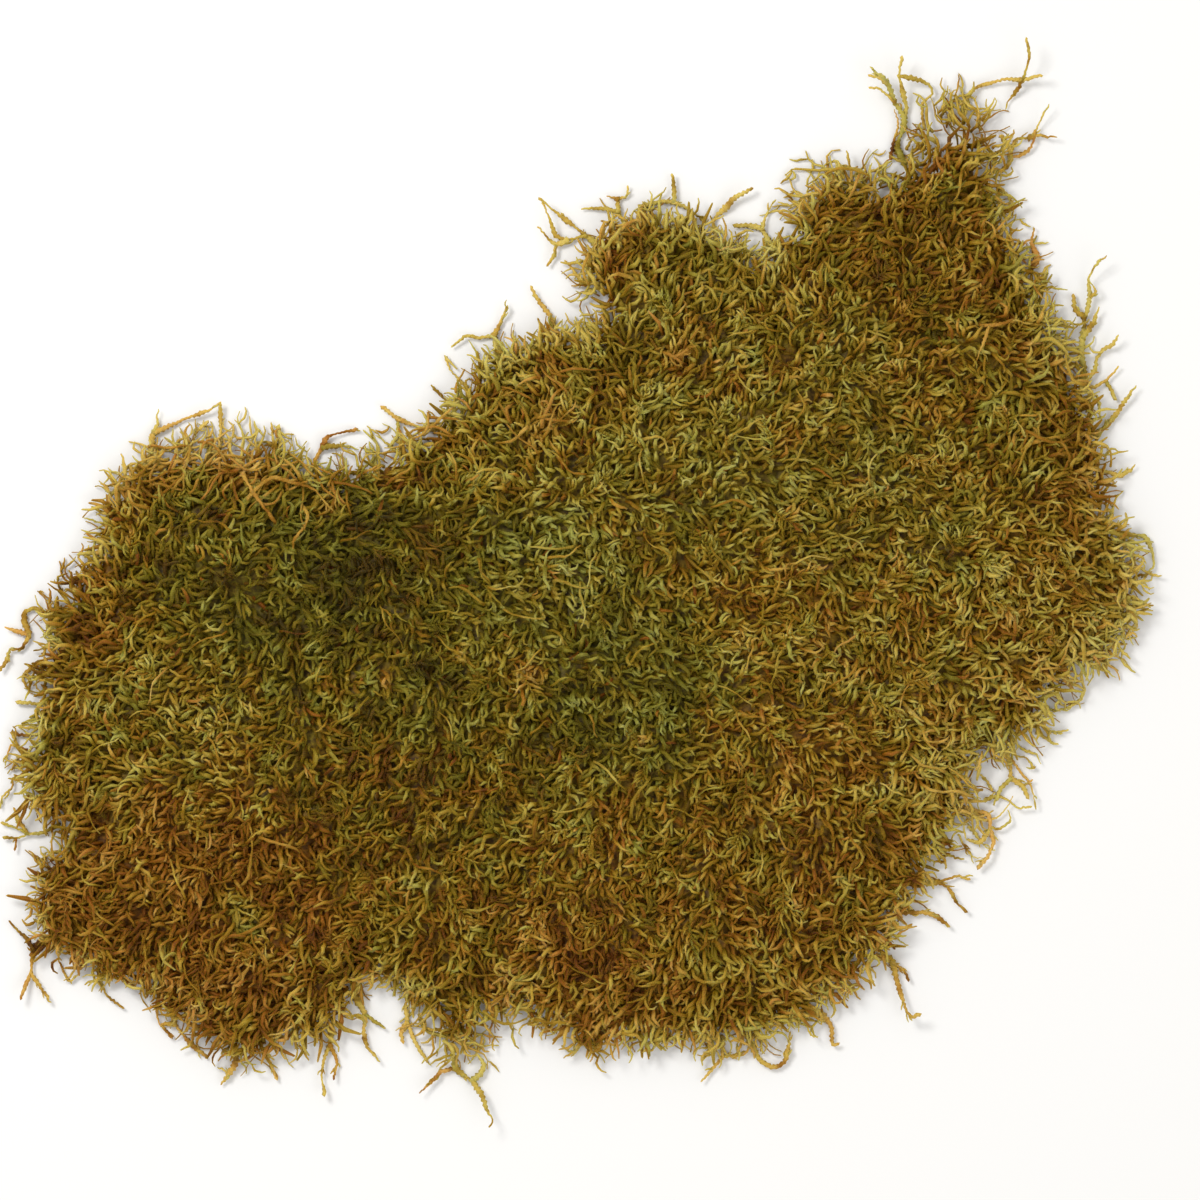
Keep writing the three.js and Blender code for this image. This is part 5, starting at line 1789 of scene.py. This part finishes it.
@dataclass
class Felt:
    """The felt of old brown stems under the pile."""

    sheet: Sheet
    spacing: float = 11.0
    rim_spacing: float = 3.2
    top: float = 3.4
    bottom: float = 1.0
    cell: float = 6.0
    stem: StemForm = StemForm(rings=7, length=(14.0, 34.0), half_width=(0.45, 0.8), bend=0.8)
    rim_stem: StemForm = StemForm(
        rings=7, length=(7.0, 17.0), half_width=(0.32, 0.5), bend=1.1, wobble=0.4
    )
    hue: float = 0.1
    stem_hue: Pair = (0.12, 0.1)  # the mean, and how much it varies
    stem_pale: Pair = (0.15, 0.12)
    stem_shade: Pair = (0.5, 0.9)
    seed: int = 909

    def build(self) -> bpy.types.Object:
        """Makes the felt: a mat of old stems over its underside and round its edge.

        Returns:
            The piece.
        """
        rng = np.random.default_rng(self.seed)
        sheet = self.sheet
        points = sheet.scattered(self.spacing, rng)
        headings = rng.uniform(-math.pi, math.pi, len(points))
        lying = self.stem.wander(points, headings, rng)
        lying = lying.kept((sheet.cover(lying.flat) > -2).all(axis=1))
        height = rng.uniform(0.8, 1.7, (len(lying.flat), 1)) + 0.4 * np.sin(5 * lying.run)
        growths = [self.brown(lying, height, rng)]
        edge, out = sheet.rim.stations(self.rim_spacing, rng)
        starts = edge - rng.uniform(2.0, 9.0, len(edge))[:, None] * way(out)
        loose = self.rim_stem.wander(starts, out + rng.normal(0, 0.9, len(edge)), rng)
        height = rng.uniform(0.9, 4.2, (len(edge), 1)) * (1 - 0.6 * loose.run)
        growths.append(self.brown(loose, height + np.sin(math.pi * loose.run), rng))
        slab = Bed(sheet, self.cell).slab(None, self.top, self.bottom)
        slab.tint[:, 0] = self.hue
        shell = Shell.joined([slab, Growth.to_shell(growths)])
        return shell.to_piece("old_stems", sheet.stem_finish, "felt_of_old_stems", "old_stems")

    def brown(self, stems: Wandering, height: Array, rng: Random) -> Growth:
        """Colours old stems brown.

        Args:
            stems: The stems in plan.
            height: Their height at each ring.
            rng: Where its random numbers come from.

        Returns:
            The stems.
        """
        column = (len(stems.run), 1)
        tint = np.empty((*stems.run.shape, 3))
        tint[..., 0] = rng.normal(*self.stem_hue, column)
        tint[..., 1] = rng.normal(*self.stem_pale, column)
        tint[..., 2] = rng.uniform(*self.stem_shade, column)
        return Growth(raised(stems.flat, height), stems.widths, tint, Strands(plait=0.12))


@dataclass
class Studio:
    """The plain pale floor, the soft light and the camera straight above, in metres and watts."""

    distance: float = 2.4
    view_width: float = PHOTO_PIXELS * MM_PER_PIXEL * METRES
    floor_size: float = 40.0
    floor_height: float = -0.0002
    floor_colour: Colour = (0.73, 0.72, 0.70, 1.0)
    floor_roughness: float = 0.9
    sky: float = 0.80
    # Each lamp's name, place, side and power
    lamps: tuple[tuple[str, Triple, float, float], ...] = (
        ("key", (-0.7, 0.6, 1.3), 0.5, 16.5),
        ("fill", (0.9, -0.7, 1.2), 1.0, 5.5),
    )

    def build(self) -> None:
        """Sets up the floor, the lights and the camera."""
        scene = bpy.context.scene
        scene.view_settings.view_transform = "Standard"
        bpy.ops.mesh.primitive_plane_add(size=self.floor_size, location=(0, 0, self.floor_height))
        floor = bpy.context.object
        floor.name = "floor"
        paint = bpy.data.materials.new("floor_paper")
        paint.use_nodes = True
        shader = paint.node_tree.nodes["Principled BSDF"]
        shader.inputs["Base Color"].default_value = self.floor_colour
        shader.inputs["Roughness"].default_value = self.floor_roughness
        floor.data.materials.append(paint)
        world = bpy.data.worlds.new("studio") if scene.world is None else scene.world
        scene.world = world
        world.use_nodes = True
        sky = world.node_tree.nodes["Background"]
        sky.inputs["Color"].default_value = (1.0, 1.0, 1.0, 1.0)
        sky.inputs["Strength"].default_value = self.sky
        for name, spot, size, power in self.lamps:
            light = bpy.data.lights.new(name, "AREA")
            light.size = size
            light.energy = power
            lamp = bpy.data.objects.new(name, light)
            lamp.location = spot
            lamp.rotation_mode = "QUATERNION"
            lamp.rotation_quaternion = (-Vector(spot)).to_track_quat("-Z", "Y")
            scene.collection.objects.link(lamp)
        centre = place([[PHOTO_PIXELS / 2, PHOTO_PIXELS / 2]])[0] * METRES
        camera = bpy.data.cameras.new("camera")
        camera.lens = camera.sensor_width * self.distance / self.view_width
        camera.clip_end = 100.0
        stand = bpy.data.objects.new("camera", camera)
        stand.location = (centre[0], centre[1], self.distance)
        scene.collection.objects.link(stand)
        scene.camera = stand


def main() -> None:
    """Builds the whole sheet."""
    logging.basicConfig(level=logging.INFO, format="%(name)s: %(message)s")
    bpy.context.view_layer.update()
    rim = Rim(strand(RIM_PIXELS))
    leafy = MossFinish("leafy_moss")
    stemmy = MossFinish(
        "old_brown_stem", pale=(0xA8845A,) * 3, roughness=(0.55, 0.8), speckle=500.0
    )
    sheet = Sheet(rim, Lie(rim), Colouring(), Combing(), leafy.make(), stemmy.make())
    pieces = [Felt(sheet).build(), *Pile(sheet).build()]
    pieces += [*Runners(sheet).build(), *Sprays(sheet).build()]
    total = 0
    for piece in pieces:
        faces = sum(len(polygon.vertices) - 2 for polygon in piece.data.polygons)
        total += faces
        LOG.info("%s: %d triangles", piece.name, faces)
    LOG.info("all pieces: %d triangles", total)
    Studio().build()


if __name__ == "__main__":
    main()
